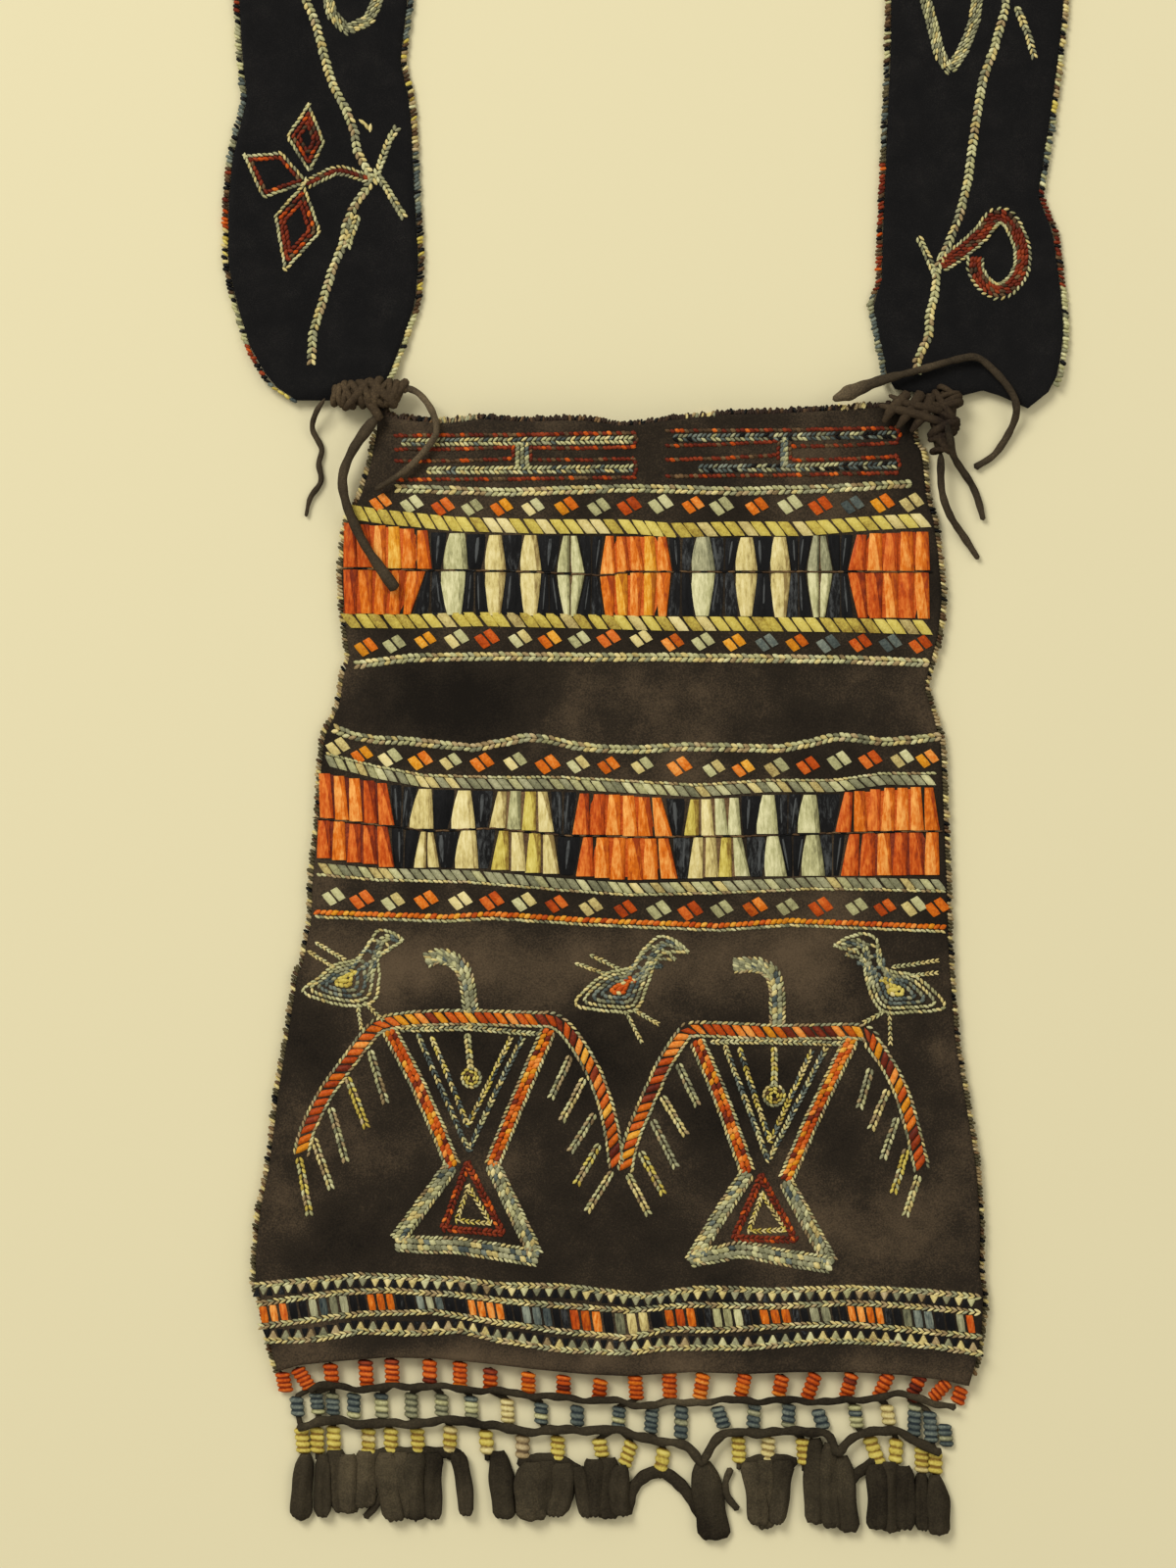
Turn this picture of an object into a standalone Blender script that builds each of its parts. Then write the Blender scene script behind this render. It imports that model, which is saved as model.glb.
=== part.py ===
"""A quilled hide pouch with a fringe and a cloth shoulder strap, lying on its back.

X runs across the pouch, Y up it towards the strap, and Z up from the floor. The origin is on the
underside of the back panel, in the middle of the pouch. Everything sewn on the front is cut flat in
plan and then laid over the belly of the front panel. All sizes are in metres.
"""

import math

import bmesh
import bpy
from mathutils import Vector

# The pouch
MOUTH_WIDTH = 0.1622
BASE_WIDTH = 0.2090
BODY_LENGTH = 0.2833
MOUTH_Y = 0.1405
HIDE = 0.0014
BELLY_RISE = 0.0060
MOUTH_GAPE = 0.0070
SEWN_GAP = 0.0003
QUILL_GAP = 0.0004
EDGING = 0.0029
FRINGE_HIDE = 0.0012
FRINGE_STRIP = 0.0082
FRINGE_SHOW = 0.0024
HEM_RISE_FROM = 0.70
HEM_SHARE = 0.955
PANEL_COLUMNS = 8
PANEL_ROWS = 16
LANE_PARTS = 6

# How far the side seams stand off a straight taper, as (share of the length, metres to the right).
LEFT_SEAM = (
    (0.00, 0.0062), (0.08, 0.0018), (0.125, -0.0010), (0.18, -0.0014), (0.24, 0.0020),
    (0.30, 0.0008), (0.34, -0.0030), (0.45, -0.0025), (0.55, -0.0031), (0.65, -0.0064),
    (0.80, -0.0096), (0.905, -0.0102), (0.95, -0.0048), (1.00, -0.0006), (1.03, 0.0040),
    (1.065, 0.0077), (1.10, 0.0103),
)
RIGHT_SEAM = (
    (0.00, 0.0066), (0.08, 0.0077), (0.13, 0.0093), (0.18, 0.0095), (0.22, 0.0076),
    (0.275, 0.0028), (0.34, 0.0057), (0.48, 0.0040), (0.54, 0.0014), (0.65, 0.0029),
    (0.79, 0.0059), (0.89, 0.0042), (0.95, 0.0035), (1.00, -0.0010), (1.03, -0.0049),
    (1.065, -0.0115), (1.10, -0.0144),
)

# How far the old hide has pulled each level up the pouch, at seven even stations across it.
HIDE_PULL = (
    (0.0000, (0.0029, 0.0006, 0.0003, 0.0, 0.0023, 0.0041, 0.0058)),
    (0.0210, (0.0016, 0.0000, -0.0003, 0.0, 0.0000, 0.0010, 0.0026)),
    (0.0320, (0.0028, 0.0009, -0.0001, 0.0, 0.0000, 0.0009, 0.0026)),
    (0.0608, (0.0010, 0.0003, 0.0000, 0.0, 0.0000, -0.0003, -0.0009)),
    (0.0702, (-0.0035, 0.0000, 0.0000, 0.0, -0.0006, -0.0012, -0.0020)),
    (0.0979, (0.0061, 0.0023, 0.0020, 0.0, 0.0000, 0.0034, 0.0035)),
    (0.1079, (0.0064, 0.0016, 0.0010, 0.0, -0.0015, 0.0003, 0.0020)),
    (0.1380, (0.0055, 0.0030, 0.0012, 0.0, 0.0001, 0.0000, 0.0005)),
    (0.1499, (0.0032, 0.0029, 0.0022, 0.0, 0.0006, 0.0003, -0.0006)),
    (0.2593, (0.0023, 0.0061, 0.0029, 0.0, 0.0023, 0.0023, -0.0006)),
    (0.2764, (0.0029, 0.0070, 0.0035, 0.0, 0.0023, 0.0035, -0.0006)),
    (0.2833, (0.0009, 0.0055, 0.0029, 0.0, 0.0007, 0.0010, -0.0026)),
    (0.2915, (0.0035, 0.0052, 0.0032, 0.0, 0.0007, 0.0012, -0.0015)),
    (0.3013, (0.0035, 0.0038, 0.0023, 0.0, 0.0012, 0.0006, -0.0035)),
    (0.3090, (0.0000, 0.0023, 0.0010, 0.0, 0.0010, 0.0004, -0.0020)),
)

# Quillwork: how thick it lies, and how far each level is below the mouth
QUILL = 0.0007
QUILL_CROWN = 0.0004
FINE_LANE = 0.0012
LANE = 0.0024
WRAPPED_LANE = 0.0033
KEY_TOP = 0.0046
KEY_BAR = 0.0054
KEY_GAP = 0.0026
KEY_POST = 0.0032
LANE_A = 0.0210
DIAMONDS_A = 0.0263
LANE_B = 0.0320
FOLDS_A = (0.0346, 0.0460, 0.0586)
LANE_C = 0.0608
DIAMONDS_B = 0.0657
LANE_D = 0.0702
LANE_E = 0.0979
DIAMONDS_C = 0.1025
LANE_F = 0.1079
FOLDS_B = (0.1108, 0.1232, 0.1355)
LANE_G = 0.1380
DIAMONDS_D = 0.1446
LANE_H = 0.1499
TOOTH_LANE_A = BODY_LENGTH - 0.0245
FINE_LANE_A = BODY_LENGTH - 0.0188
FINE_LANE_B = BODY_LENGTH - 0.0122
TOOTH_LANE_B = BODY_LENGTH - 0.0064
DIAMOND_WIDTH = 0.0084
DIAMOND_HEIGHT = 0.0056
TOOTH = 0.0019
TOOTH_COUNT = 24
FOLD_GAP = 0.0003
DIAMONDS_ACROSS = 19
TOOTH_WIDTH = 0.0022
LANE_REACH = 0.985
MOUTH_EDGING = 0.0022
BLOCK_WIDTH = 0.0088
BLOCK_COLOURS = (
    "orange", "blue", "orange", "blue", "orange", "blue", "orange", "cream", "orange", "cream", "orange",
    "blue", "orange", "blue", "orange",
)

# Folded quills: each shape as (left, right, inset of its top corners, finish), in hundredths across
FOLD_COLOURS = ("black", "orange", "pale", "cream")
UPPER_TOP_SHAPES = (
    (0.5, 14.6, 0.0, "orange"), (15.9, 20.6, 1.2, "pale"), (23.4, 27.0, 0.8, "cream"),
    (29.4, 33.0, 0.8, "cream"), (35.5, 40.5, 1.3, "pale"), (42.8, 55.2, 0.0, "orange"),
    (58.2, 62.4, 1.0, "pale"), (65.7, 69.5, 0.8, "cream"), (71.6, 75.1, 0.7, "cream"),
    (77.8, 82.4, 1.1, "pale"), (84.9, 99.5, 0.0, "orange"),
)
UPPER_BASE_SHAPES = (
    (0.5, 11.3, -1.0, "orange"), (17.1, 19.4, -1.2, "pale"), (24.2, 26.2, -0.8, "cream"),
    (30.2, 32.2, -0.8, "cream"), (36.8, 39.1, -1.3, "pale"), (42.8, 55.2, 0.0, "orange"),
    (59.2, 61.4, -1.0, "pale"), (66.5, 68.7, -0.8, "cream"), (72.3, 74.5, -0.7, "cream"),
    (78.9, 81.3, -1.1, "pale"), (84.9, 99.5, 0.0, "orange"),
)
LOWER_TOP_SHAPES = (
    (0.5, 10.8, 0.0, "orange"), (13.8, 17.9, 1.0, "cream"), (20.6, 24.8, 1.0, "cream"),
    (27.0, 37.5, 0.9, "cream"), (40.3, 56.5, 1.1, "orange"), (58.4, 67.9, 0.6, "cream"),
    (70.0, 73.7, 0.9, "cream"), (76.7, 80.5, 0.9, "cream"), (83.0, 99.5, 0.0, "orange"),
)
LOWER_BASE_SHAPES = (
    (0.5, 10.8, 0.0, "orange"), (14.6, 19.0, 1.1, "cream"), (21.3, 25.2, 0.8, "cream"),
    (27.1, 38.4, 1.0, "cream"), (40.8, 57.3, 1.1, "orange"), (59.0, 69.0, 0.7, "cream"),
    (71.4, 75.1, 1.0, "cream"), (77.3, 81.3, 1.0, "cream"), (83.8, 99.5, 0.0, "orange"),
)

# Fringe
STRANDS = 22
THONG = 0.0017
WRAP = 0.0029
WRAP_HEIGHT = 0.0021
THONG_HEIGHT = 0.0012
WRAP_A = (BODY_LENGTH + 0.0015, BODY_LENGTH + 0.0067)
TIER_A = BODY_LENGTH + 0.0082
WRAP_B = (BODY_LENGTH + 0.0097, BODY_LENGTH + 0.0165)
TIER_B = BODY_LENGTH + 0.0180
WRAP_C = (BODY_LENGTH + 0.0195, BODY_LENGTH + 0.0259)
TAIL_TOP = BODY_LENGTH + 0.0269
FRINGE_COLOURS = ("thong", "red", "blue", "yellow")
TAIL_WIDTH = 0.0056
TAIL_LENGTH = 0.0175
CROSS_THONG = 0.0017

# Strap
STRAP_WIDTH = 0.0575
STRAP = 0.0015
STRAP_EDGING = 0.0020
STRAP_LEFT_X = -0.0904
STRAP_RIGHT_X = 0.1018
STRAP_END_Y = 0.1465
STRAP_RISE = 0.2845
STRAP_HEIGHT = 0.00105
STRAP_END_LIFT = 0.0016
STRAP_LIFT_RUN = 0.024
FOLD_RADIUS = 0.0012
EDGE_RUN = 0.024
EDGE_COLOURS = ("edging", "blue", "red", "yellow", "pale")
OUTER_RUNS = (
    (0.006, "blue"), (0.017, "red"), (0.031, "pale"), (0.051, "yellow"), (0.065, "red"), (0.096, "blue"),
)
INNER_RUNS = ((0.022, "pale"), (0.048, "yellow"), (0.074, "blue"), (0.107, "yellow"), (0.120, "blue"))

# How far the strap's edges stand from its middle line, as (distance from the end, left, right).
STRAP_LEFT = (
    (0.0000, -0.0100, 0.0190), (0.0045, -0.0168, 0.0205), (0.0090, -0.0200, 0.0225),
    (0.0160, -0.0238, 0.0252),
    (0.0290, -0.0278, 0.0296), (0.0415, -0.0305, 0.0307), (0.0590, -0.0302, 0.0296),
    (0.0705, -0.0293, 0.0290),
    (0.0810, -0.0270, 0.0287), (0.0900, -0.0247, 0.0278), (0.1010, -0.0261, 0.0252),
    (0.1180, -0.0270, 0.0273),
)
STRAP_RIGHT = (
    (0.0000, -0.0075, 0.0195), (0.0045, -0.0267, 0.0262), (0.0090, -0.0270, 0.0285),
    (0.0160, -0.0284, 0.0296),
    (0.0205, -0.0293, 0.0302), (0.0290, -0.0310, 0.0296), (0.0350, -0.0284, 0.0290),
    (0.0500, -0.0280, 0.0270),
    (0.0610, -0.0275, 0.0225), (0.0810, -0.0267, 0.0258), (0.1010, -0.0258, 0.0284),
    (0.1180, -0.0255, 0.0302),
)

# Finishes, as (name, colour, roughness)
FINISHES = (
    ("hide", (0.028, 0.021, 0.016), 0.85),
    ("thong", (0.060, 0.045, 0.034), 0.80),
    ("edging", (0.42, 0.39, 0.28), 0.55),
    ("orange", (0.72, 0.16, 0.02), 0.45),
    ("red", (0.30, 0.03, 0.015), 0.45),
    ("yellow", (0.60, 0.48, 0.09), 0.45),
    ("pale", (0.52, 0.55, 0.32), 0.45),
    ("cream", (0.62, 0.56, 0.29), 0.45),
    ("blue", (0.13, 0.21, 0.23), 0.45),
    ("black", (0.010, 0.011, 0.013), 0.40),
    ("cloth", (0.010, 0.010, 0.013), 0.95),
)

# The spread-winged birds, in millimetres from the waist of each
LEFT_BIRD = {
    "waist": (-46.4, -79.9),
    "wings": (
        (-50.2, 3.8), (-48.1, 10.4), (-42.9, 20.9), (-37.1, 29.0), (-31.0, 37.1), (-26.7, 41.2),
        (-17.7, 42.9),
        (-2.9, 43.5), (19.1, 42.9), (24.4, 42.6), (28.7, 39.4), (33.9, 31.9), (38.3, 22.9),
        (41.0, 11.9), (41.4, 2.0),
    ),
    "neck": ((0.3, 43.6), (-0.9, 52.8), (-2.0, 57.7), (-5.2, 60.9), (-11.3, 61.5), (-13.1, 59.7)),
    "body": (((-23.8, 42.6), (-5.5, 0.0)), ((22.9, 42.9), (6.7, 0.9))),
    "skirt": (((-5.9, 1.2), (-21.5, -23.0), (-2.9, -24.4), (20.1, -28.1)), ((6.9, 2.0), (18.9, -27.0))),
    "outer_v": ((-15.4, 38.4), (-0.6, 3.8), (15.4, 38.4)),
    "inner_v": ((-11.0, 38.6), (-0.9, 11.3), (11.5, 38.6)),
    "breast": ((-20.6, 39.0), (20.6, 38.4)),
    "pendant": ((-0.9, 38.5), (0.2, 25.5)),
    "red": ((-0.9, -2.0), (-8.1, -19.1), (9.6, -20.6)),
    "yellow": ((-0.4, -9.4), (-3.0, -15.2), (4.0, -15.8)),
    "feathers": (
        ((-30.0, 36.0), (-25.2, 18.6)), ((-37.0, 27.6), (-31.0, 11.3)), ((-42.6, 18.6), (-37.1, 1.2)),
        ((-46.8, 9.6), (-41.5, -7.0)), ((-49.8, 5.6), (-47.9, -14.8)), ((30.0, 36.4), (24.1, 20.0)),
        ((34.6, 28.4), (27.3, 13.3)), ((37.6, 19.6), (29.9, 4.1)), ((39.6, 10.4), (31.6, -5.5)),
        ((40.6, 3.0), (34.8, -13.6)),
    ),
}
RIGHT_BIRD = {
    "waist": (41.5, -83.4),
    "wings": (
        (-41.6, 2.6), (-40.0, 11.0), (-34.8, 23.8), (-29.9, 34.2), (-24.7, 42.1), (-20.6, 43.5),
        (3.5, 42.6),
        (27.3, 42.6), (31.3, 39.2), (37.4, 29.9), (41.8, 18.9), (45.8, 2.6),
    ),
    "neck": ((2.9, 43.0), (2.6, 56.3), (0.9, 61.2), (-3.0, 63.0), (-9.3, 62.9), (-10.2, 60.9)),
    "body": (((-20.6, 43.0), (-6.1, 1.7)), ((24.7, 42.6), (5.8, -0.9))),
    "skirt": (((-6.0, 2.6), (-22.0, -25.2), (-7.0, -22.4), (19.0, -26.8)), ((5.9, 1.2), (18.4, -25.9))),
    "outer_v": ((-12.9, 39.2), (0.3, 4.4), (17.6, 39.0)),
    "inner_v": ((-8.1, 39.2), (0.9, 10.2), (13.1, 39.0)),
    "breast": ((-17.6, 39.8), (22.4, 39.2)),
    "pendant": ((2.0, 39.2), (2.0, 23.8)),
    "red": ((-1.7, -2.0), (-9.6, -17.6), (8.4, -18.6)),
    "yellow": ((-1.0, -9.2), (-3.8, -13.8), (3.0, -14.2)),
    "feathers": (
        ((-27.6, 37.4), (-20.9, 21.5)), ((-32.6, 27.6), (-24.4, 12.5)), ((-36.4, 19.2), (-27.3, 2.9)),
        ((-39.2, 10.6), (-31.0, -4.9)), ((-41.2, 4.6), (-35.4, -11.0)), ((31.6, 36.6), (27.6, 20.6)),
        ((37.0, 29.0), (31.0, 14.2)), ((40.2, 21.0), (34.5, 5.5)), ((43.2, 11.6), (37.7, -4.6)),
        ((45.4, 3.6), (41.2, -11.3)),
    ),
}
WING = 3.9
NECK = 4.4
BODY_LINE = 3.8
SKIRT = 4.3
FINE = 2.0
FEATHER = 2.1
FEATHER_COLOURS = ("blue", "yellow", "blue", "cream", "yellow")
PENDANT_DISC = 3.3

# The small birds above them, in millimetres from the middle of each breast
SMALL_BIRDS = (
    ("small_bird_left", (-82.7, -23.9), "yellow",
     ((16.0, 10.4), (9.6, 13.3), (6.7, 9.9), (2.9, 4.9), (-3.8, 2.9), (-9.0, -1.2), (-12.8, -5.2),
      (-1.5, -9.0),
      (7.3, -7.8), (9.3, -1.2), (9.3, 5.5)),
     (((2.9, -8.0), (3.8, -14.6)), ((5.2, -7.4), (9.2, -11.6)), ((-7.4, 8.2), (0.5, 2.9)),
       ((-9.6, 5.6), (-3.0, 1.0)))),
    ("small_bird_middle", (-4.4, -26.8), "red",
     ((22.0, 10.2), (14.8, 14.5), (9.3, 10.7), (5.8, 5.5), (-1.7, 3.5), (-7.8, -1.2), (-10.7, -5.8),
      (-1.7, -7.5),
      (6.7, -7.3), (10.2, -0.3), (13.9, 9.0)),
     (((4.1, -6.6), (8.4, -16.5)), ((6.7, -6.4), (13.3, -11.3)), ((-6.1, 8.7), (3.4, 3.4)),
       ((-10.4, 6.4), (-0.8, 1.6)))),
    ("small_bird_right", (79.8, -26.8), "yellow",
     ((-18.0, 11.6), (-11.0, 15.1), (-6.1, 13.3), (-5.2, 6.4), (-0.9, 3.8), (5.8, 2.3), (13.6, -5.9),
      (4.4, -8.1),
      (-4.4, -7.5), (-8.4, -0.3), (-10.7, 9.0)),
     (((-4.4, -6.6), (-9.3, -11.0)), ((-2.0, -6.8), (-1.7, -17.4)), ((-3.0, 3.4), (12.2, 7.0)),
       ((3.0, 1.0), (11.9, 3.5)))),
)

# Quillwork on the strap, in millimetres from the middle of each end
LEFT_VINE = {
    "stem": (
        (-3.2, 10.2), (-0.6, 26.2), (1.7, 36.3), (6.1, 47.6), (8.7, 56.9), (13.4, 63.6), (14.6, 67.4),
        (11.3, 74.0),
        (7.8, 84.2), (2.6, 95.2), (-0.6, 107.1), (-4.9, 118.1), (-8.0, 136.0), (-4.0, 154.0), (3.0, 172.0),
    ),
    "twigs": (((14.2, 66.8), (22.3, 80.7)), ((13.8, 66.2), (24.4, 54.9))),
    "red": ((13.6, 66.6), (5.2, 69.1), (-4.6, 66.0)),
    "petals": (
        ((-4.1, 88.2), (-11.0, 78.7), (-4.6, 67.4), (0.9, 76.4)),
        ((-23.8, 73.2), (-11.9, 74.3), (-5.6, 66.0), (-17.7, 59.5)),
        ((-4.8, 66.0), (-14.2, 54.3), (-11.3, 37.8), (-0.6, 50.8)),
    ),
    "leaf": ((1.7, 118.1), (7.8, 110.6), (15.4, 116.4), (17.0, 128.0), (9.0, 142.0), (2.0, 130.0)),
}
RIGHT_VINE = {
    "stem": (
        (-16.2, 8.5), (-15.7, 12.6), (-11.6, 24.4), (-9.9, 35.8), (-8.1, 41.6), (-5.5, 48.5),
        (-1.2, 62.7), (1.2, 77.2),
        (2.9, 92.6), (6.4, 103.6), (10.7, 118.1), (13.0, 136.0), (8.0, 154.0), (3.0, 172.0),
    ),
    "twigs": (((-9.6, 36.6), (-14.5, 47.9)), ((12.0, 119.4), (19.1, 102.5))),
    "red": (
        (-8.6, 40.7), (3.8, 50.8), (8.1, 55.2), (14.8, 47.6), (15.7, 38.9), (10.7, 32.3), (2.9, 34.0),
        (0.3, 41.6),
    ),
    "petals": (),
    "leaf": ((-6.4, 98.7), (-10.7, 112.9), (-12.0, 124.0), (-7.0, 136.0), (-1.0, 124.0), (0.3, 109.7)),
}
STEM = 3.2
RED_LINE = 2.6
LEAF = 2.2

# The knots and free ties, in millimetres
LEFT_KNOT = (-77.4, 148.0)
RIGHT_KNOT = (94.0, 142.3)
KNOT_BASE = 0.0041
KNOT_LONG = 0.0105
KNOT_WIDE = 0.0048
TIES = (
    ("tie_left_thin", 0.00085, (
        (-89.6, 146.6, 5.4), (-92.2, 142.6, 4.6), (-93.4, 138.0, 2.2), (-90.8, 132.4, 1.0),
        (-91.6, 127.8, 1.0),
        (-91.0, 122.6, 1.0), (-94.2, 117.6, 1.0), (-95.4, 112.4, 1.0),
    )),
    ("tie_left_thick", 0.0014, (
        (-73.8, 141.4, 6.8), (-76.3, 138.4, 6.7), (-81.2, 131.4, 6.4), (-84.2, 123.8, 5.6),
        (-83.4, 116.6, 6.4),
        (-80.6, 109.2, 6.8), (-76.4, 101.4, 7.5), (-68.6, 90.4, 8.8),
    )),
    ("tie_left_loop", 0.0010, (
        (-66.4, 150.2, 6.4), (-61.6, 148.0, 7.4), (-57.6, 142.6, 8.4), (-56.4, 136.4, 8.6),
        (-60.4, 130.4, 8.2),
        (-66.2, 124.8, 7.6), (-74.2, 119.8, 6.6),
    )),
    ("tie_right_over", 0.0011, (
        (61.0, 146.2, 9.0), (74.0, 151.6, 7.0), (86.6, 155.2, 5.6), (97.2, 158.2, 5.2), (103.2, 159.0, 5.2),
        (107.6, 156.0, 5.2), (112.8, 150.2, 5.3), (115.2, 145.0, 5.1), (114.6, 139.4, 2.6),
        (109.6, 131.0, 1.3),
        (103.6, 126.8, 1.3),
    )),
    ("tie_right_short", 0.0011, (
        (94.2, 139.0, 9.4), (94.9, 136.0, 9.3), (95.6, 133.2, 8.6), (96.2, 130.6, 6.6), (97.6, 128.2, 4.2),
        (99.9, 125.2, 2.2), (102.4, 121.6, 1.3), (104.2, 117.4, 1.3), (105.8, 111.4, 1.3),
    )),
    ("tie_right_long", 0.0011, (
        (92.8, 130.6, 5.8), (93.1, 119.8, 5.6), (95.6, 112.2, 5.2), (100.4, 105.6, 1.6), (104.2, 99.8, 1.3),
    )),
)


def clear_scene():
    """Start from an empty scene."""
    for old in list(bpy.data.objects):
        bpy.data.objects.remove(old)


def paint(name, colour, roughness):
    """One finish of the pouch."""
    finish = bpy.data.materials.new(name)
    finish.use_nodes = True
    shader = finish.node_tree.nodes["Principled BSDF"]
    shader.inputs["Base Color"].default_value = (*colour, 1.0)
    shader.inputs["Roughness"].default_value = roughness
    shader.inputs["Metallic"].default_value = 0.0
    finish.diffuse_color = (*colour, 1.0)
    return finish


def curve_through(stations, values, at):
    """The smooth curve through values at the stations, held level past both ends."""
    if at <= stations[0]:
        return values[0]
    if at >= stations[-1]:
        return values[-1]
    i = max(k for k in range(len(stations) - 1) if stations[k] <= at)
    before, after = max(i - 1, 0), min(i + 2, len(stations) - 1)
    span = stations[i + 1] - stations[i]
    slope_in = (values[i + 1] - values[before]) / (stations[i + 1] - stations[before])
    slope_out = (values[after] - values[i]) / (stations[after] - stations[i])
    t = (at - stations[i]) / span
    return (
        (2 * t**3 - 3 * t**2 + 1) * values[i]
        + (t**3 - 2 * t**2 + t) * span * slope_in
        + (3 * t**2 - 2 * t**3) * values[i + 1]
        + (t**3 - t**2) * span * slope_out
    )


def seam_x(side, y):
    """Where the outside of a side seam is: side is -1 for the left one and 1 for the right one."""
    share = (MOUTH_Y - y) / BODY_LENGTH
    seam = LEFT_SEAM if side < 0 else RIGHT_SEAM
    half = (MOUTH_WIDTH + (BASE_WIDTH - MOUTH_WIDTH) * share) / 2
    return side * half + curve_through([p[0] for p in seam], [p[1] for p in seam], share)


def panel_x(side, y):
    """The cut edge of both panels, inside the edging that covers it."""
    return seam_x(side, y) - side * (EDGING + SEWN_GAP)


def pull(across, depth):
    """How far the hide has crept up at a place: across is -1 to 1 from seam to seam."""
    stations = [-1 + i / 3 for i in range(7)]
    levels = [row[0] for row in HIDE_PULL]
    here = [curve_through(stations, row[1], across) for row in HIDE_PULL]
    return curve_through(levels, here, depth)


def plan(across, depth):
    """The plan position of a place on the pouch, by its share across and its depth below the mouth."""
    y = MOUTH_Y - depth + pull(across, depth)
    left, right = panel_x(-1, y), panel_x(1, y)
    return Vector((left + (right - left) * (across + 1) / 2, y, 0.0))


def across_at(x, y):
    """The share across the pouch of a plan position, from -1 at the left seam to 1 at the right."""
    left, right = panel_x(-1, y), panel_x(1, y)
    return min(max(2 * (x - left) / (right - left) - 1, -1.0), 1.0)


def depth_at(x, y):
    """The depth below the mouth of a plan position, with the pull of the hide taken out."""
    depth = MOUTH_Y - y
    for _ in range(4):
        depth = MOUTH_Y - y + pull(across_at(x, y), depth)
    return depth


def ease(t):
    """A smooth step from 0 to 1."""
    t = min(max(t, 0.0), 1.0)
    return t * t * (3 - 2 * t)


def belly(x, y):
    """The height of the front panel's underside, from the seams over the swell of the pouch."""
    share = (MOUTH_Y - y) / BODY_LENGTH
    hem = (FRINGE_HIDE + SEWN_GAP) * ease((share - HEM_RISE_FROM) / (HEM_SHARE - HEM_RISE_FROM))
    share = min(max(share / HEM_SHARE, 0.0), 1.0)
    rise = MOUTH_GAPE * (1 - share) ** 2 + BELLY_RISE * ease(1.8 * min(share, 1 - share))
    return HIDE + SEWN_GAP + hem + rise * (1 - across_at(x, y) ** 2)


def front_face(x, y):
    """The height of the front panel's outside."""
    return belly(x, y) + HIDE


def on_front(x, y):
    """The height at which quillwork lies on the front panel."""
    return front_face(x, y) + QUILL_GAP


def finish_object(name, points, faces, finishes, indices=None):
    """A mesh object with its faces turned outwards."""
    mesh = bpy.data.meshes.new(name)
    mesh.from_pydata([tuple(p) for p in points], [], faces)
    shell = bpy.data.objects.new(name, mesh)
    bpy.context.scene.collection.objects.link(shell)
    for finish in finishes:
        mesh.materials.append(finish)
    if indices:
        mesh.polygons.foreach_set("material_index", indices)
    turn_out(mesh)
    return shell


def turn_out(mesh):
    """Every face of a closed mesh pointing outwards."""
    work = bmesh.new()
    work.from_mesh(mesh)
    bmesh.ops.recalc_face_normals(work, faces=work.faces)
    if work.calc_volume(signed=True) < 0:
        bmesh.ops.reverse_faces(work, faces=work.faces)
    work.to_mesh(mesh)
    work.free()


def loft(name, sections, finishes, closed=False, indices=None):
    """A solid through equal sections, capped at both ends unless it closes on itself."""
    count = len(sections[0])
    points = [p for section in sections for p in section]
    faces, colours = [], []
    spans = len(sections) if closed else len(sections) - 1
    for i in range(spans):
        here, there = i * count, ((i + 1) % len(sections)) * count
        for k in range(count):
            k2 = (k + 1) % count
            faces.append((here + k, here + k2, there + k2, there + k))
            colours.append(indices[i] if indices else 0)
    if not closed:
        faces.append(tuple(range(count)))
        faces.append(tuple(range(len(points) - count, len(points))))
        colours += [colours[0], colours[-1]]
    return finish_object(name, points, faces, finishes, colours)


def drape(shell, surface):
    """Lay a flat piece over a surface, by lifting each of its points."""
    work = bmesh.new()
    work.from_mesh(shell.data)
    bmesh.ops.triangulate(work, faces=[f for f in work.faces if len(f.verts) > 4])
    for vert in work.verts:
        vert.co.z += surface(vert.co.x, vert.co.y)
    work.to_mesh(shell.data)
    work.free()
    return shell


def side_steps(path, closed=False):
    """The unit vector to the left of the path at each of its points, lengthened at the corners."""
    count = len(path)
    steps = []
    for i, here in enumerate(path):
        back = path[(i - 1) % count] if closed or i else None
        ahead = path[(i + 1) % count] if closed or i < count - 1 else None
        a = (here - back).normalized() if back is not None else None
        b = (ahead - here).normalized() if ahead is not None else None
        a, b = a or b, b or a
        middle = (a + b).normalized()
        reach = 1 / max(middle.dot(a), 0.5)
        steps.append(Vector((-middle.y, middle.x, 0)) * reach)
    return steps


def ribbon(name, path, width, finishes, closed=False, crown=0.0, thick=QUILL, indices=None):
    """A flat strip along a path in plan, with a crowned top if it has a crown."""
    sections = []
    for here, step in zip(path, side_steps(path, closed)):
        left, right = here + step * width / 2, here - step * width / 2
        up = Vector((0, 0, thick))
        section = [left, right, right + up, left + up]
        if crown:
            section.insert(3, here + up + Vector((0, 0, crown)))
        sections.append(section)
    return loft(name, sections, finishes, closed, indices)


def along(points, step=0.026, closed=False):
    """Points no further apart than the step, along straight runs between the given ones."""
    path = []
    ends = list(points) + ([points[0]] if closed else [])
    for a, b in zip(ends, ends[1:]):
        parts = max(1, math.ceil((b - a).length / step))
        path += [a.lerp(b, k / parts) for k in range(parts)]
    return path if closed else path + [ends[-1]]


def smooth_path(points, step):
    """Points about a step apart on a smooth curve through the given ones."""
    reach = [0.0]
    for a, b in zip(points, points[1:]):
        reach.append(reach[-1] + (b - a).length)
    count = max(2, round(reach[-1] / step))
    return [
        Vector([curve_through(reach, [p[k] for p in points], reach[-1] * i / count) for k in range(3)])
        for i in range(count + 1)
    ]


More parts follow.
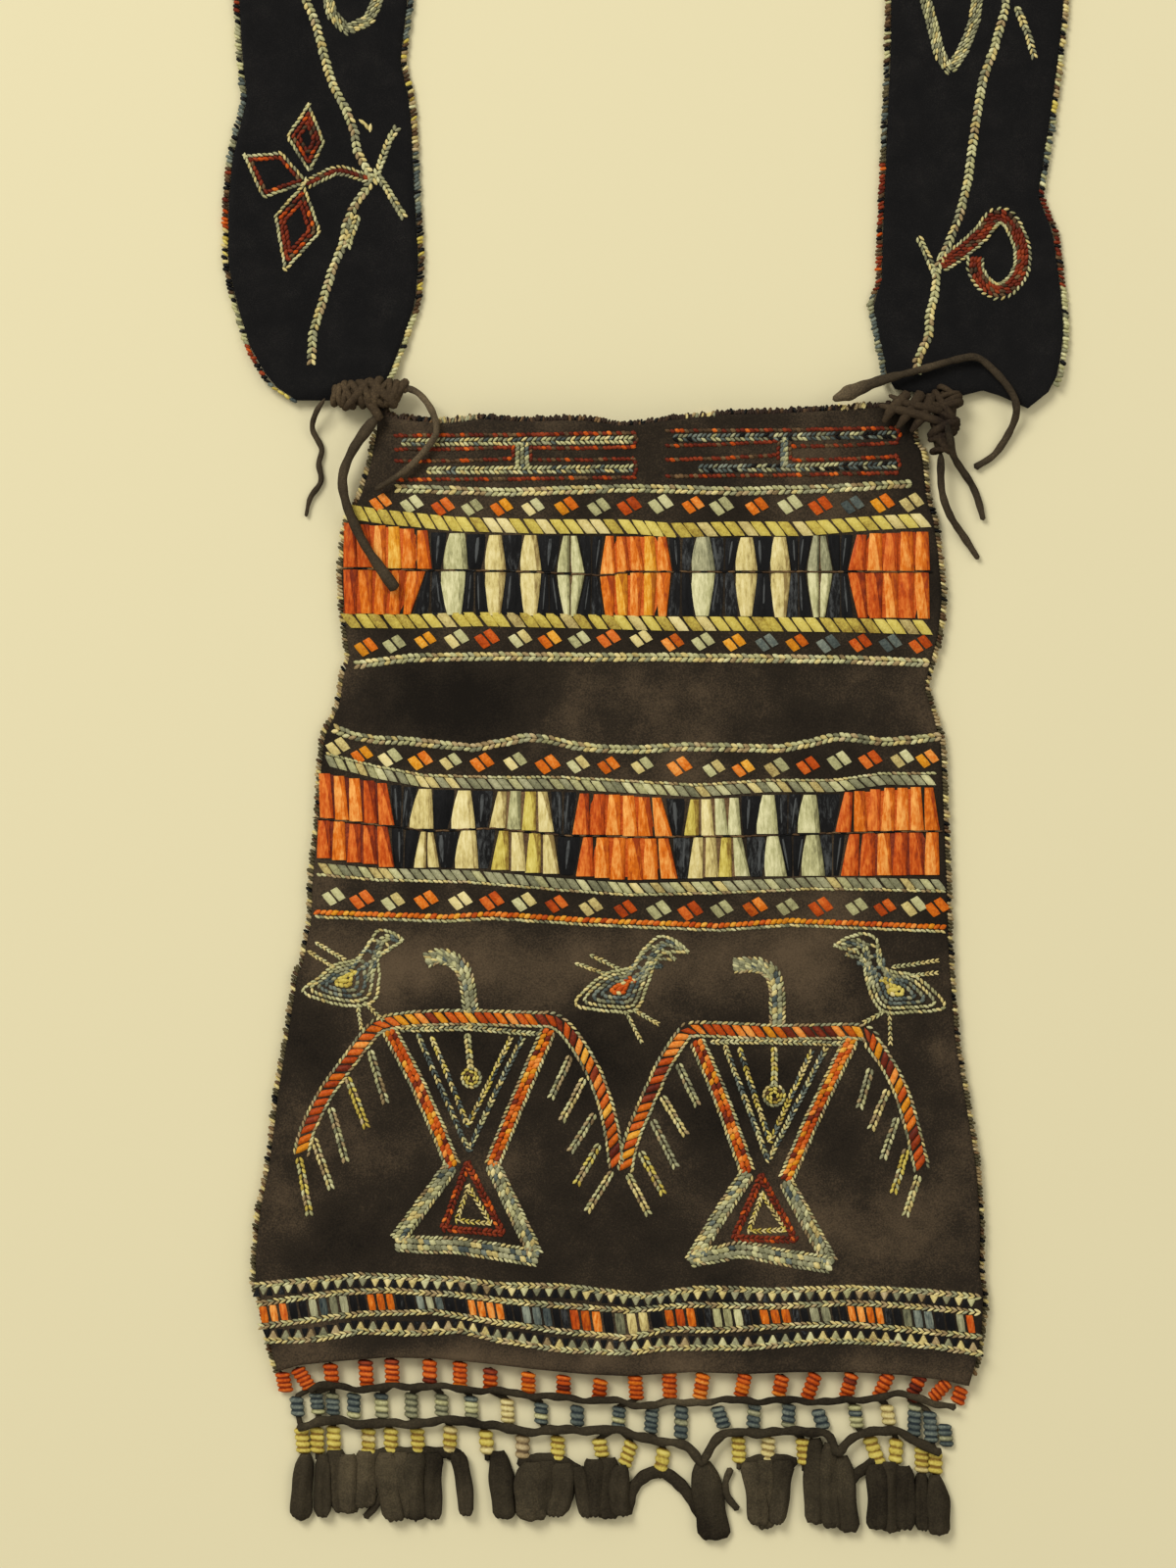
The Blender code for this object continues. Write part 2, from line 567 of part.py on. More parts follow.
def gather(pieces):
    """Several objects as one, with their finishes."""
    bpy.ops.object.select_all(action="DESELECT")
    for piece in pieces:
        piece.select_set(True)
    bpy.context.view_layer.objects.active = pieces[0]
    if len(pieces) > 1:
        bpy.ops.object.join()
    return pieces[0]


def unite(name, pieces):
    """One solid from overlapping pieces, each keeping its finish."""
    body, others = pieces[0], gather(pieces[1:])
    join = body.modifiers.new("join", "BOOLEAN")
    join.operation = "UNION"
    join.solver = "EXACT"
    join.use_self = True
    join.material_mode = "TRANSFER"
    join.object = others
    graph = bpy.context.evaluated_depsgraph_get()
    joined = bpy.data.meshes.new_from_object(body.evaluated_get(graph), depsgraph=graph)
    body.modifiers.clear()
    body.data = joined
    body.name = name
    bpy.data.objects.remove(others)
    return body


def sheet(name, edge_rows, bottom, thick, finish):
    """A panel of hide over rows of plan points, its underside at the given height."""
    columns = len(edge_rows[0])
    count = columns * len(edge_rows)
    low = [Vector((p.x, p.y, bottom(p.x, p.y))) for row in edge_rows for p in row]
    points = low + [p + Vector((0, 0, thick)) for p in low]
    faces = []
    for i in range(len(edge_rows) - 1):
        for k in range(columns - 1):
            a = i * columns + k
            cell = (a, a + 1, a + columns + 1, a + columns)
            faces.append(cell)
            faces.append(tuple(count + c for c in reversed(cell)))
    top_row = list(range(columns))
    right = [columns * (i + 1) - 1 for i in range(len(edge_rows))]
    left = [columns * i for i in range(len(edge_rows))]
    bottom_row = [count - columns + k for k in range(columns)]
    for rim in (top_row, right, left, bottom_row):
        for a, b in zip(rim, rim[1:]):
            faces.append((a, b, count + b, count + a))
    return finish_object(name, points, faces, [finish])


def panel_rows():
    """The plan points of both panels, from the mouth down to the base."""
    return [
        [plan(2 * k / PANEL_COLUMNS - 1, BODY_LENGTH * i / PANEL_ROWS) for k in range(PANEL_COLUMNS + 1)]
        for i in range(PANEL_ROWS + 1)
    ]


def diamonds(depth, shift, finishes):
    """One row of sewn diamonds, standing up out of the hide that they are fused to."""
    made = []
    for i in range(DIAMONDS_ACROSS):
        middle = (i + 0.5 + shift) * 2 / DIAMONDS_ACROSS - 1
        if abs(middle) > 0.97:
            continue
        centre = plan(middle, depth)
        room = DIAMOND_WIDTH / 2 + 0.0008
        centre.x = min(max(centre.x, panel_x(-1, centre.y) + room), panel_x(1, centre.y) - room)
        corners = [
            centre + Vector((-DIAMOND_WIDTH / 2, -0.0008, 0)),
            centre + Vector((0.0006, -DIAMOND_HEIGHT / 2, 0)),
            centre + Vector((DIAMOND_WIDTH / 2, 0.0008, 0)),
            centre + Vector((-0.0006, DIAMOND_HEIGHT / 2, 0)),
        ]
        low = [Vector((c.x, c.y, front_face(c.x, c.y) - HIDE / 2)) for c in corners]
        high = [Vector((c.x, c.y, front_face(c.x, c.y) + QUILL)) for c in corners]
        made.append(loft(f"diamond_{i}", [low, high], [finishes[i % 2]]))
    return made


def build_panels(paints):
    """The two hide panels, the front one with its rows of diamonds."""
    rows = panel_rows()
    sheet("back_panel", rows, lambda x, y: 0.0, HIDE, paints["hide"])
    front = sheet("front_panel", rows, belly, HIDE, paints["hide"])
    pair = (paints["orange"], paints["pale"])
    work = []
    work += diamonds(DIAMONDS_A, 0.0, pair)
    work += diamonds(DIAMONDS_B, 0.0, pair)
    work += diamonds(DIAMONDS_C, 0.0, pair[::-1])
    work += diamonds(DIAMONDS_D, 0.0, pair[::-1])
    unite("front_panel", [front] + work)


def build_edgings(paints):
    """Quills sewn over the raw edges: one strip at each side seam, and one at each lip of the mouth."""
    for side, name in ((-1, "edging_left"), (1, "edging_right")):
        sections = []
        for i in range(PANEL_ROWS + 1):
            y = plan(side, BODY_LENGTH * i / PANEL_ROWS).y
            outer, inner = seam_x(side, y), panel_x(side, y) + side * SEWN_GAP
            top = front_face(panel_x(side, y), y) + SEWN_GAP
            middle = (outer + inner) / 2
            sections.append([
                Vector((inner, y, 0.0)),
                Vector((outer, y, top * 0.25)),
                Vector((outer, y, top * 0.75)),
                Vector((middle, y, top)),
                Vector((inner, y, top)),
            ])
        loft(name, sections, [paints["edging"]])
    steps = [0.955 * (k / 10 - 1) for k in range(21)]
    path = [plan(a, -SEWN_GAP - MOUTH_EDGING / 2) for a in steps]
    front = ribbon("mouth_edging_front", path, MOUTH_EDGING, [paints["edging"]], thick=HIDE)
    drape(front, belly)
    ribbon("mouth_edging_back", path, MOUTH_EDGING, [paints["edging"]], thick=HIDE)


def lane(name, depth, width, finishes, crown=0.0, indices=None):
    """One row of quill stitches from seam to seam."""
    path = [plan(LANE_REACH * (k / LANE_PARTS - 1), depth) for k in range(2 * LANE_PARTS + 1)]
    strip = ribbon(name, path, width, finishes, crown=crown, indices=indices)
    return drape(strip, on_front)


def double_lane(name, depth, width, upper, lower):
    """Two rows of stitches side by side in their own colours, as one strip."""
    path = [plan(LANE_REACH * (k / LANE_PARTS - 1), depth) for k in range(2 * LANE_PARTS + 1)]
    top = ribbon(name, [p + Vector((0, width / 4, 0)) for p in path], width / 2 + 0.0002, [upper])
    low_path = [p - Vector((0, width / 4, 0)) for p in path]
    low = ribbon("lower_row", low_path, width / 2, [lower], thick=QUILL + 0.0002)
    return drape(unite(name, [top, low]), on_front)


def toothed_lane(name, depth, width, side, finish):
    """A fine row with small triangles along one side of it."""
    path = [plan(LANE_REACH * (k / LANE_PARTS - 1), depth) for k in range(2 * LANE_PARTS + 1)]
    pieces = [ribbon(name, path, width, [finish])]
    for i in range(TOOTH_COUNT):
        middle = plan(LANE_REACH * (2 * (i + 0.5) / TOOTH_COUNT - 1), depth)
        root = middle + Vector((0, side * width / 4, 0))
        tip = root + Vector((0, side * (width / 4 + TOOTH), 0))
        corners = [root + Vector((-TOOTH_WIDTH / 2, 0, 0)), root + Vector((TOOTH_WIDTH / 2, 0, 0))]
        corners += [tip + Vector((0.0002, 0, 0)), tip - Vector((0.0002, 0, 0))]
        high = [c + Vector((0, 0, QUILL * 0.9)) for c in corners]
        low = [c + Vector((0, 0, QUILL * 0.1)) for c in corners]
        pieces.append(loft(f"tooth_{i}", [low, high], [finish]))
    return drape(unite(name, pieces), on_front)


def folded_row(name, top, base, shapes, paints):
    """One row of folded quills. A shape is (left, right, inset of its top corners, its finish), the
    sides in hundredths of the width, and black quills fill the rest."""
    cuts, colours = [(0.5, 0.0)], []
    for left, right, inset, colour in shapes:
        for where, lean in ((left, inset), (right, -inset)):
            if where - cuts[-1][0] > 0.4:
                cuts.append((where, lean))
                colours.append(FOLD_COLOURS.index("black" if where == left else colour))
    if cuts[-1][0] < 99.0:
        cuts.append((99.5, 0.0))
        colours.append(FOLD_COLOURS.index("black"))
    sections, indices = [], []
    for (here, lean), (there, lean_on), colour in zip(cuts, cuts[1:], colours):
        parts = max(1, math.ceil((there - here) / 5.5))
        for k in range(parts):
            t = k / parts
            sections.append(fold_section(here + (there - here) * t, lean + (lean_on - lean) * t, top, base))
            indices.append(colour)
    sections.append(fold_section(cuts[-1][0], cuts[-1][1], top, base))
    row = loft(name, sections, [paints[c] for c in FOLD_COLOURS], indices=indices)
    return drape(row, on_front)


def fold_section(place, lean, top, base):
    """The cut through a folded row from its lower edge to its upper one."""
    low = plan(place / 50 - 1, base - FOLD_GAP / 2)
    high = plan((place + lean) / 50 - 1, top + FOLD_GAP / 2)
    middle = low.lerp(high, 0.5)
    up = Vector((0, 0, 1))
    return [low, high, high + up * QUILL, middle + up * (QUILL + QUILL_CROWN), low + up * QUILL]


def bars(name, left, right, post, paints):
    """The barred strip beside the middle of the mouth: two bars, open at both ends, joined by one post."""
    upper, lower = KEY_TOP + KEY_BAR / 2, KEY_TOP + KEY_BAR * 1.5 + KEY_GAP
    steps = [left + (right - left) * k / 4 for k in range(5)]
    pieces = []
    for depth in (upper, lower):
        path = [plan(a, depth) for a in steps]
        pieces.append(ribbon("bar", path, KEY_BAR, [paints["red"]]))
        pieces.append(ribbon("core", path, KEY_BAR / 3, [paints["cream"]], thick=QUILL + QUILL_CROWN))
    run = [plan(post, upper), plan(post, lower)]
    pieces.append(ribbon("post", run, KEY_POST, [paints["cream"]], thick=QUILL + QUILL_CROWN / 2))
    return drape(unite(name, pieces), on_front)


def build_bands(paints):
    """The rows across the front, from the mouth down."""
    bars("bars_left", -0.86, -0.02, -0.43, paints)
    bars("bars_right", 0.065, 0.87, 0.46, paints)
    lane("lane_mouth", LANE_A, LANE, [paints["cream"]])
    lane("lane_yellow_upper", LANE_B, WRAPPED_LANE, [paints["yellow"]], QUILL_CROWN)
    folded_row("folds_upper_top", FOLDS_A[0], FOLDS_A[1], UPPER_TOP_SHAPES, paints)
    folded_row("folds_upper_base", FOLDS_A[1], FOLDS_A[2], UPPER_BASE_SHAPES, paints)
    lane("lane_yellow_lower", LANE_C, WRAPPED_LANE, [paints["yellow"]], QUILL_CROWN)
    lane("lane_upper_end", LANE_D, LANE, [paints["cream"]])
    lane("lane_lower_start", LANE_E, LANE, [paints["cream"]])
    lane("lane_braid_upper", LANE_F, WRAPPED_LANE, [paints["pale"]])
    folded_row("folds_lower_top", FOLDS_B[0], FOLDS_B[1], LOWER_TOP_SHAPES, paints)
    folded_row("folds_lower_base", FOLDS_B[1], FOLDS_B[2], LOWER_BASE_SHAPES, paints)
    lane("lane_braid_lower", LANE_G, WRAPPED_LANE, [paints["pale"]])
    double_lane("lane_red_white", LANE_H, LANE + 0.0004, paints["red"], paints["cream"])


def build_border(paints):
    """The border above the fringe: two toothed rows with a row of blocks between them."""
    toothed_lane("border_teeth_upper", TOOTH_LANE_A, LANE, -1, paints["pale"])
    toothed_lane("border_teeth_lower", TOOTH_LANE_B, LANE, 1, paints["pale"])
    pieces = []
    for depth in (FINE_LANE_A, FINE_LANE_B):
        path = [plan(LANE_REACH * (k / LANE_PARTS - 1), depth) for k in range(2 * LANE_PARTS + 1)]
        pieces.append(ribbon("rail", path, FINE_LANE, [paints["cream"]]))
    for i, colour in enumerate(BLOCK_COLOURS):
        place = LANE_REACH * (2 * (i + 0.5) / len(BLOCK_COLOURS) - 1)
        run = [plan(place, FINE_LANE_A), plan(place, FINE_LANE_B)]
        pieces.append(ribbon("block", run, BLOCK_WIDTH, [paints[colour]], thick=QUILL + 0.0003))
    drape(unite("border_blocks", pieces), on_front)


def build_fringe(paints):
    """The fringe: a strip in the base seam cut into strands, each wrapped in quills three times and
    ending in a broad tail, and the two thongs laced across them."""
    colours = [paints[c] for c in FRINGE_COLOURS]
    hide, red, blue, yellow = range(4)
    steps = [0.985 * (k / 6 - 1) for k in range(13)]
    strip = ribbon(
        "fringe", [plan(a, BODY_LENGTH - FRINGE_STRIP / 2 + FRINGE_SHOW / 2) for a in steps],
        FRINGE_STRIP + FRINGE_SHOW, colours, thick=FRINGE_HIDE,
    )
    profile = (
        (BODY_LENGTH + SEWN_GAP, THONG, FRINGE_HIDE * 0.8, hide),
        (WRAP_A[0], WRAP, WRAP_HEIGHT, red), (WRAP_A[1], THONG, THONG_HEIGHT, hide),
        (WRAP_B[0], WRAP, WRAP_HEIGHT, blue), (WRAP_B[1], THONG, THONG_HEIGHT, hide),
        (WRAP_C[0], WRAP, WRAP_HEIGHT, yellow), (WRAP_C[1], WRAP, WRAP_HEIGHT, hide),
        (TAIL_TOP, TAIL_WIDTH, THONG_HEIGHT, hide),
    )
    pieces = [strip]
    for i in range(STRANDS):
        place = 0.955 * (2 * i / (STRANDS - 1) - 1)
        long = TAIL_LENGTH * (1 + 0.12 * math.sin(i * 2.4))
        ends = ((TAIL_TOP + long, TAIL_WIDTH * 0.92, THONG_HEIGHT, hide),)
        sections = []
        for depth, width, high, _ in profile + ends:
            middle = plan(place, depth)
            left, right = middle - Vector((width / 2, 0, 0)), middle + Vector((width / 2, 0, 0))
            up = Vector((0, 0, high))
            sections.append([left, right, right + up, left + up])
        marks = [mark for _, _, _, mark in profile]
        pieces.append(loft(f"strand_{i}", sections, colours, indices=marks))
    drape(unite("fringe", pieces), fringe_drop)
    for name, depth in (("cross_thong_upper", TIER_A), ("cross_thong_lower", TIER_B)):
        path = [plan(0.968 * (k / 6 - 1), depth) for k in range(13)]
        drape(ribbon(name, path, CROSS_THONG, [paints["thong"]], thick=CROSS_THONG), over_fringe)


def fringe_drop(x, y):
    """The height of the fringe's underside: between the panels, then down on the floor."""
    below = depth_at(x, y) - BODY_LENGTH
    return (HIDE + SEWN_GAP) * (1 - ease((below - 0.0008) / 0.0062))


def over_fringe(x, y):
    """The height of a thong that lies on the strands of the fringe."""
    return fringe_drop(x, y) + WRAP_HEIGHT + SEWN_GAP


def plan_points(points, origin):
    """Points given in millimetres from an origin, in plan."""
    return [Vector(((origin[0] + x) / 1000, (origin[1] + y) / 1000, 0.0)) for x, y in points]


def line(points, origin, width, finish, closed=False, thick=QUILL):
    """A flat quilled line through points in millimetres."""
    path = along(plan_points(points, origin), closed=closed)
    return ribbon("line", path, width / 1000, [finish], closed=closed, thick=thick)


def disc(centre, origin, radius, finish, thick):
    """A flat round patch of quills."""
    middle = plan_points([centre], origin)[0]
    turns = [2 * math.pi * k / 8 for k in range(8)]
    low = [middle + Vector((math.cos(t), math.sin(t), 0)) * (radius / 1000) for t in turns]
    return loft("disc", [low, [p + Vector((0, 0, thick)) for p in low]], [finish])


def spread_bird(name, bird, paints):
    """A bird with its wings spread and an hourglass body, and the two triangles in its skirt."""
    waist = bird["waist"]
    pieces = [line(bird["wings"], waist, WING, paints["orange"], thick=QUILL + 0.0003)]
    pieces.append(line(bird["neck"], waist, NECK, paints["pale"]))
    for side in bird["body"]:
        pieces.append(line(side, waist, BODY_LINE, paints["orange"], thick=QUILL + 0.0002))
    for run in bird["skirt"]:
        pieces.append(line(run, waist, SKIRT, paints["blue"], thick=QUILL + 0.0001))
    pieces.append(line(bird["breast"], waist, FINE, paints["cream"], thick=QUILL - 0.0001))
    pieces.append(line(bird["outer_v"], waist, FINE, paints["pale"]))
    pieces.append(line(bird["inner_v"], waist, FINE, paints["yellow"], thick=QUILL - 0.0002))
    pieces.append(line(bird["pendant"], waist, FINE, paints["cream"], thick=QUILL - 0.00015))
    pieces.append(disc(bird["pendant"][1], waist, PENDANT_DISC, paints["yellow"], QUILL + 0.0003))
    for i, feather in enumerate(bird["feathers"]):
        colour = paints[FEATHER_COLOURS[i % 5]]
        pieces.append(line(feather, waist, FEATHER, colour, thick=QUILL - 0.0003))
    drape(unite(name, pieces), on_front)
    for colour in ("red", "yellow"):
        triangle = line(bird[colour], waist, FINE, paints[colour], closed=True)
        triangle.name = f"{name}_{colour}_triangle"
        drape(triangle, on_front)


def small_bird(name, origin, core, body, limbs, paints):
    """A small standing bird with two plumes and two legs."""
    outline = plan_points(body, origin)
    middle = sum(outline, Vector()) / len(outline)
    pieces = []
    layers = ((1.0, QUILL, "pale"), (0.66, QUILL + 0.0002, "blue"), (0.30, QUILL + 0.0004, core))
    for share, high, colour in layers:
        low = [middle + (p - middle) * share for p in outline]
        pieces.append(loft("plate", [low, [p + Vector((0, 0, high)) for p in low]], [paints[colour]]))
    for limb in limbs:
        pieces.append(line(limb, origin, FINE * 0.9, paints["pale"], thick=QUILL - 0.0001))
    drape(unite(name, pieces), on_front)


def strap_centre(leg):
    """The middle of a strap end in millimetres, for quillwork placed from it."""
    return ((STRAP_LEFT_X if leg < 0 else STRAP_RIGHT_X) * 1000, STRAP_END_Y * 1000)


def strap_mid(run):
    """The height of the strap's middle plane, by the distance from its nearer end."""
    return STRAP_HEIGHT + STRAP_END_LIFT * ease(1 - run / STRAP_LIFT_RUN)


def on_strap(x, y):
    """The height at which quillwork lies on either side of the strap."""
    return strap_mid(y - STRAP_END_Y) + STRAP / 2 + SEWN_GAP


def strap_length():
    """The length of the strap along its middle line."""
    return 2 * STRAP_RISE + STRAP_RIGHT_X - STRAP_LEFT_X


def strap_edge(side, v):
    """How far an edge of the cloth stands from the strap's middle line: side is -1 for the outer one."""
    from_end = min(v, strap_length() - v)
    table = STRAP_LEFT if v < strap_length() / 2 else STRAP_RIGHT
    column = (1 if side < 0 else 2) if table is STRAP_LEFT else (2 if side < 0 else 1)
    wide = table + ((0.160, -STRAP_WIDTH / 2, STRAP_WIDTH / 2),)
    edge = curve_through([row[0] for row in wide], [abs(row[column]) for row in wide], from_end)
    return side * (edge - STRAP_EDGING - SEWN_GAP)


def fold_over(s, n, up):
    """A flat fold: the place across a fold line and the height, of a point s past the line and n above
    the middle plane. The far side goes over the top if up is 1, and under if it is -1."""
    half = math.pi * FOLD_RADIUS / 2
    if s <= -half:
        return s, n
    if s >= half:
        return -s, 2 * up * FOLD_RADIUS - n
    turn = (s + half) / FOLD_RADIUS
    reach = FOLD_RADIUS - up * n
    return -half + reach * math.sin(turn), up * (FOLD_RADIUS - reach * math.cos(turn))


def strap_point(u, v, n):
    """A point of the folded strap: u across it, v along it and n above its middle plane."""
    root = 1 / math.sqrt(2)
    first, second = STRAP_RISE, strap_length() - STRAP_RISE
    top = STRAP_END_Y + STRAP_RISE
    if v < (first + second) / 2:
        s, t = (v - first - u) * root, (v - first + u) * root
        q, z = fold_over(s, n, 1)
        return Vector((STRAP_LEFT_X + (t - q) * root, top + (t + q) * root, z + strap_mid(v)))
    s, t = (v - second + u) * root, (v - second - u) * root
    q, z = fold_over(s, -n, -1)
    height = z + 2 * FOLD_RADIUS + strap_mid(strap_length() - v)
    return Vector((STRAP_RIGHT_X + (t + q) * root, top + (q - t) * root, height))


def strap_stations():
    """Where the strap is cut into sections, as (distance along it, lean of the section)."""
    first, second = STRAP_RISE, strap_length() - STRAP_RISE
    half = math.pi * FOLD_RADIUS / 2
    ends = [0.0, 0.0045, 0.009, 0.016, 0.023, 0.032, 0.042, 0.054, 0.066, 0.078, 0.09]
    ends += [0.104, 0.118, 0.139, 0.16]
    legs = [(v, 0.0) for v in ends] + [(0.20, 0.0), (0.235, 0.5)]
    bend = [(first + half * math.sqrt(2) * k / 2, 1.0) for k in range(-2, 3)]
    middle = (first + second) / 2
    near = legs + bend + [(first + 0.05, 0.2), (middle, 0.0)]
    return near + [(strap_length() - v, -lean) for v, lean in reversed(near[:-1])]


def strap_run(name, cut, finishes, indices=None):
    """A loft along the strap, of a section given at each (v, lean) by its (u, n) corners."""
    sections = []
    for v, lean in strap_stations():
        sections.append([strap_point(u, v + lean * u, n) for u, n in cut(v)])
    return loft(name, sections, finishes, indices=indices)


def edge_mark(runs, v):
    """Which edging colour the strap has at v: named runs near each end, then the colours in turn."""
    from_end = min(v, strap_length() - v)
    for reach, colour in runs:
        if from_end < reach:
            return EDGE_COLOURS.index(colour)
    return int(v / EDGE_RUN) % len(EDGE_COLOURS)


def build_strap(paints):
    """The shoulder strap: one band folded flat at two corners, with quilled edges and a vine."""
    half = STRAP / 2

    def cloth(v):
        outer, inner = strap_edge(-1, v), strap_edge(1, v)
        return [(outer, -half), (inner, -half), (inner, half), (outer, half)]

    strap_run("strap", cloth, [paints["cloth"]])
    colours = [paints[c] for c in EDGE_COLOURS]
    for side, name in ((-1, "strap_edging_outer"), (1, "strap_edging_inner")):
        high = half + 0.0002

        def strip(v, side=side, high=high):
            near = strap_edge(side, v) + side * 0.00045
            far = near + side * STRAP_EDGING
            return [(near, -high), (far, -high), (far, high), (near, high)]

        runs = OUTER_RUNS if side < 0 else INNER_RUNS
        strap_run(name, strip, colours, [edge_mark(runs, v) for v, _ in strap_stations()[:-1]])


def vine(name, leg, work, paints):
    """The quilled vine on one side of the strap, and the leaf beside it."""
    origin = strap_centre(leg)
    stem = smooth_path(plan_points(work["stem"], origin), 0.010)
    pieces = [ribbon(name, stem, STEM / 1000, [paints["cream"]])]
    for twig in work["twigs"]:
        pieces.append(line(twig, origin, FINE, paints["pale"], thick=QUILL - 0.0001))
    red = smooth_path(plan_points(work["red"], origin), 0.006)
    pieces.append(ribbon("red", red, RED_LINE / 1000, [paints["red"]], thick=QUILL + 0.0002))
    for petal in work["petals"]:
        pieces.append(rounded(petal, origin, RED_LINE, paints["red"], QUILL + 0.0001))
    drape(unite(name, pieces), on_strap)
    leaf = rounded(work["leaf"], origin, LEAF, paints["cream"], QUILL)
    leaf.name = name + "_leaf"
    drape(leaf, on_strap)


def smooth_loop(points, parts):
    """A smooth closed curve through the given points, with so many steps between each two."""
    count, path = len(points), []
    for i in range(count):
        a, b, c, d = (points[(i + k) % count] for k in (-1, 0, 1, 2))
        for k in range(parts):
            t = k / parts
            bend = (2 * a - 5 * b + 4 * c - d) * t**2
            path.append((2 * b + (c - a) * t + bend + (3 * b - a - 3 * c + d) * t**3) / 2)
    return path


def rounded(points, origin, width, finish, thick):
    """A closed smooth line round a petal or a leaf."""
    path = smooth_loop(plan_points(points, origin), 3)
    return ribbon("petal", path, width / 1000, [finish], closed=True, thick=thick)


def cord(name, points, radius, finish):
    """A free tie thong with a round section, on a smooth route through the given points."""
    route = smooth_path([Vector(p) / 1000 for p in points], radius * 5)
    shape = bpy.data.curves.new(name, "CURVE")
    shape.dimensions = "3D"
    shape.bevel_depth = radius
    shape.bevel_resolution = 2
    shape.use_fill_caps = True
    spline = shape.splines.new("POLY")
    spline.points.add(len(route) - 1)
    for point, place in zip(spline.points, route):
        point.co = (*place, 1.0)
    shape.materials.append(finish)
    tie = bpy.data.objects.new(name, shape)
    bpy.context.scene.collection.objects.link(tie)


def knot(name, centre, turn, paints):
    """A flat knot of thong with a round turn on it, tied over the corner of the pouch and the strap."""
    rings = []
    for radius, rise in ((1.0, 0.0), (1.06, 0.0012), (0.8, 0.0030), (0.35, 0.0038)):
        ring = []
        for k in range(12):
            angle = 2 * math.pi * k / 12
            along_x, along_y = KNOT_LONG * math.cos(angle) * radius, KNOT_WIDE * math.sin(angle) * radius
            x = centre[0] / 1000 + along_x * math.cos(turn) - along_y * math.sin(turn)
            y = centre[1] / 1000 + along_x * math.sin(turn) + along_y * math.cos(turn)
            ring.append(Vector((x, y, KNOT_BASE + rise)))
        rings.append(ring)
    loft(name, rings, [paints["thong"]])


def build_ties(paints):
    """The thongs that tie the strap to the corners of the pouch, with their knots and free ends."""
    knot("knot_left", LEFT_KNOT, 0.15, paints)
    knot("knot_right", RIGHT_KNOT, 1.35, paints)
    for name, radius, points in TIES:
        cord(name, points, radius, paints["thong"])


def main():
    """Build the pouch."""
    clear_scene()
    paints = {name: paint(name, colour, rough) for name, colour, rough in FINISHES}
    build_panels(paints)
    build_edgings(paints)
    build_bands(paints)
    build_border(paints)
    build_fringe(paints)
    spread_bird("bird_left", LEFT_BIRD, paints)
    spread_bird("bird_right", RIGHT_BIRD, paints)
    for name, origin, core, body, limbs in SMALL_BIRDS:
        small_bird(name, origin, core, body, limbs, paints)
    build_strap(paints)
    vine("vine_left", -1, LEFT_VINE, paints)
    vine("vine_right", 1, RIGHT_VINE, paints)
    build_ties(paints)


main()
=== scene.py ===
"""Looks for the quilled pouch: every stitch, thong and cut edge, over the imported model.

Places are given on a drawing grid, x to the right and y down, whose squares are 0.29 mm wide.
"""

import math
import random

import bpy
import numpy as np
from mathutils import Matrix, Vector


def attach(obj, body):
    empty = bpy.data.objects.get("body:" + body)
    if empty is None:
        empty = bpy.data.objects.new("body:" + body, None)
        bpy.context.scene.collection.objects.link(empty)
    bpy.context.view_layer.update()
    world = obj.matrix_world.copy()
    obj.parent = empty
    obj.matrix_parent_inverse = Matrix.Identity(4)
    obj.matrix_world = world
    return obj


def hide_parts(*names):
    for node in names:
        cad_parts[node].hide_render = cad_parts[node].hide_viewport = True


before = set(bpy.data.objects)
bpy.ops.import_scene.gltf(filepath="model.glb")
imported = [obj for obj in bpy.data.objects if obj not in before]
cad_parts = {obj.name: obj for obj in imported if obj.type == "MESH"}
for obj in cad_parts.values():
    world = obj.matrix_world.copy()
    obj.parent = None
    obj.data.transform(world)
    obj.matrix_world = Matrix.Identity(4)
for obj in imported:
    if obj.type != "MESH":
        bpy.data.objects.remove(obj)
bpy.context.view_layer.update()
rng = random.Random(11)

GRID = 0.00029
GRID_ZERO = (640.0, 912.5)
MM = 0.001

# The camera looks straight down on the middle of the view
VIEW_MIDDLE = (600.0, 800.0)
LENS = 85.0
SENSOR = 36.0
VIEW_HEIGHT = 1600 * GRID
FACE_HEIGHT = 0.006

# Outlines of the pouch, on the drawing grid
LEFT_EDGE = (
    (378, 418), (378, 440), (371, 476), (362, 504), (349, 529), (345, 554), (342, 590), (346, 640), (350, 670),
    (344, 690), (339, 721), (325, 751), (321, 784), (319, 832), (315, 867), (312, 902), (311, 938), (302, 985),
    (297, 994), (287, 1058), (278, 1109), (272, 1160), (267, 1198), (259, 1236), (255, 1274), (254, 1310),
    (259, 1326), (267, 1359), (272, 1385), (278, 1402), (284, 1420),
)
RIGHT_EDGE = (
    (942, 405), (939, 447), (947, 460), (950, 483), (953, 511), (959, 529), (964, 563), (968, 608), (964, 648),
    (955, 680), (951, 704), (958, 725), (967, 761), (970, 832), (973, 902), (975, 973), (982, 1062), (994, 1135),
    (1003, 1194), (1007, 1253), (1006, 1297), (1010, 1323), (1008, 1358), (1004, 1385), (999, 1402), (994, 1420),
)
MOUTH = (
    (378, 404), (385, 402), (391, 410), (397, 420), (420, 424), (450, 427), (491, 423), (531, 426), (593, 425),
    (638, 431), (685, 425), (740, 419), (785, 418), (836, 415), (885, 411), (920, 409), (945, 408),
)
BASE = (
    (278, 1402), (304, 1394), (342, 1390), (393, 1386), (444, 1387), (495, 1392), (546, 1398), (597, 1403),
    (640, 1405), (707, 1401), (761, 1403), (814, 1401), (868, 1401), (921, 1404), (962, 1409), (988, 1415),
    (998, 1416),
)
HIDE = 0.0014
SEAM_GAP = 0.0017
GAPE = 0.0070
SWELL = 0.0060
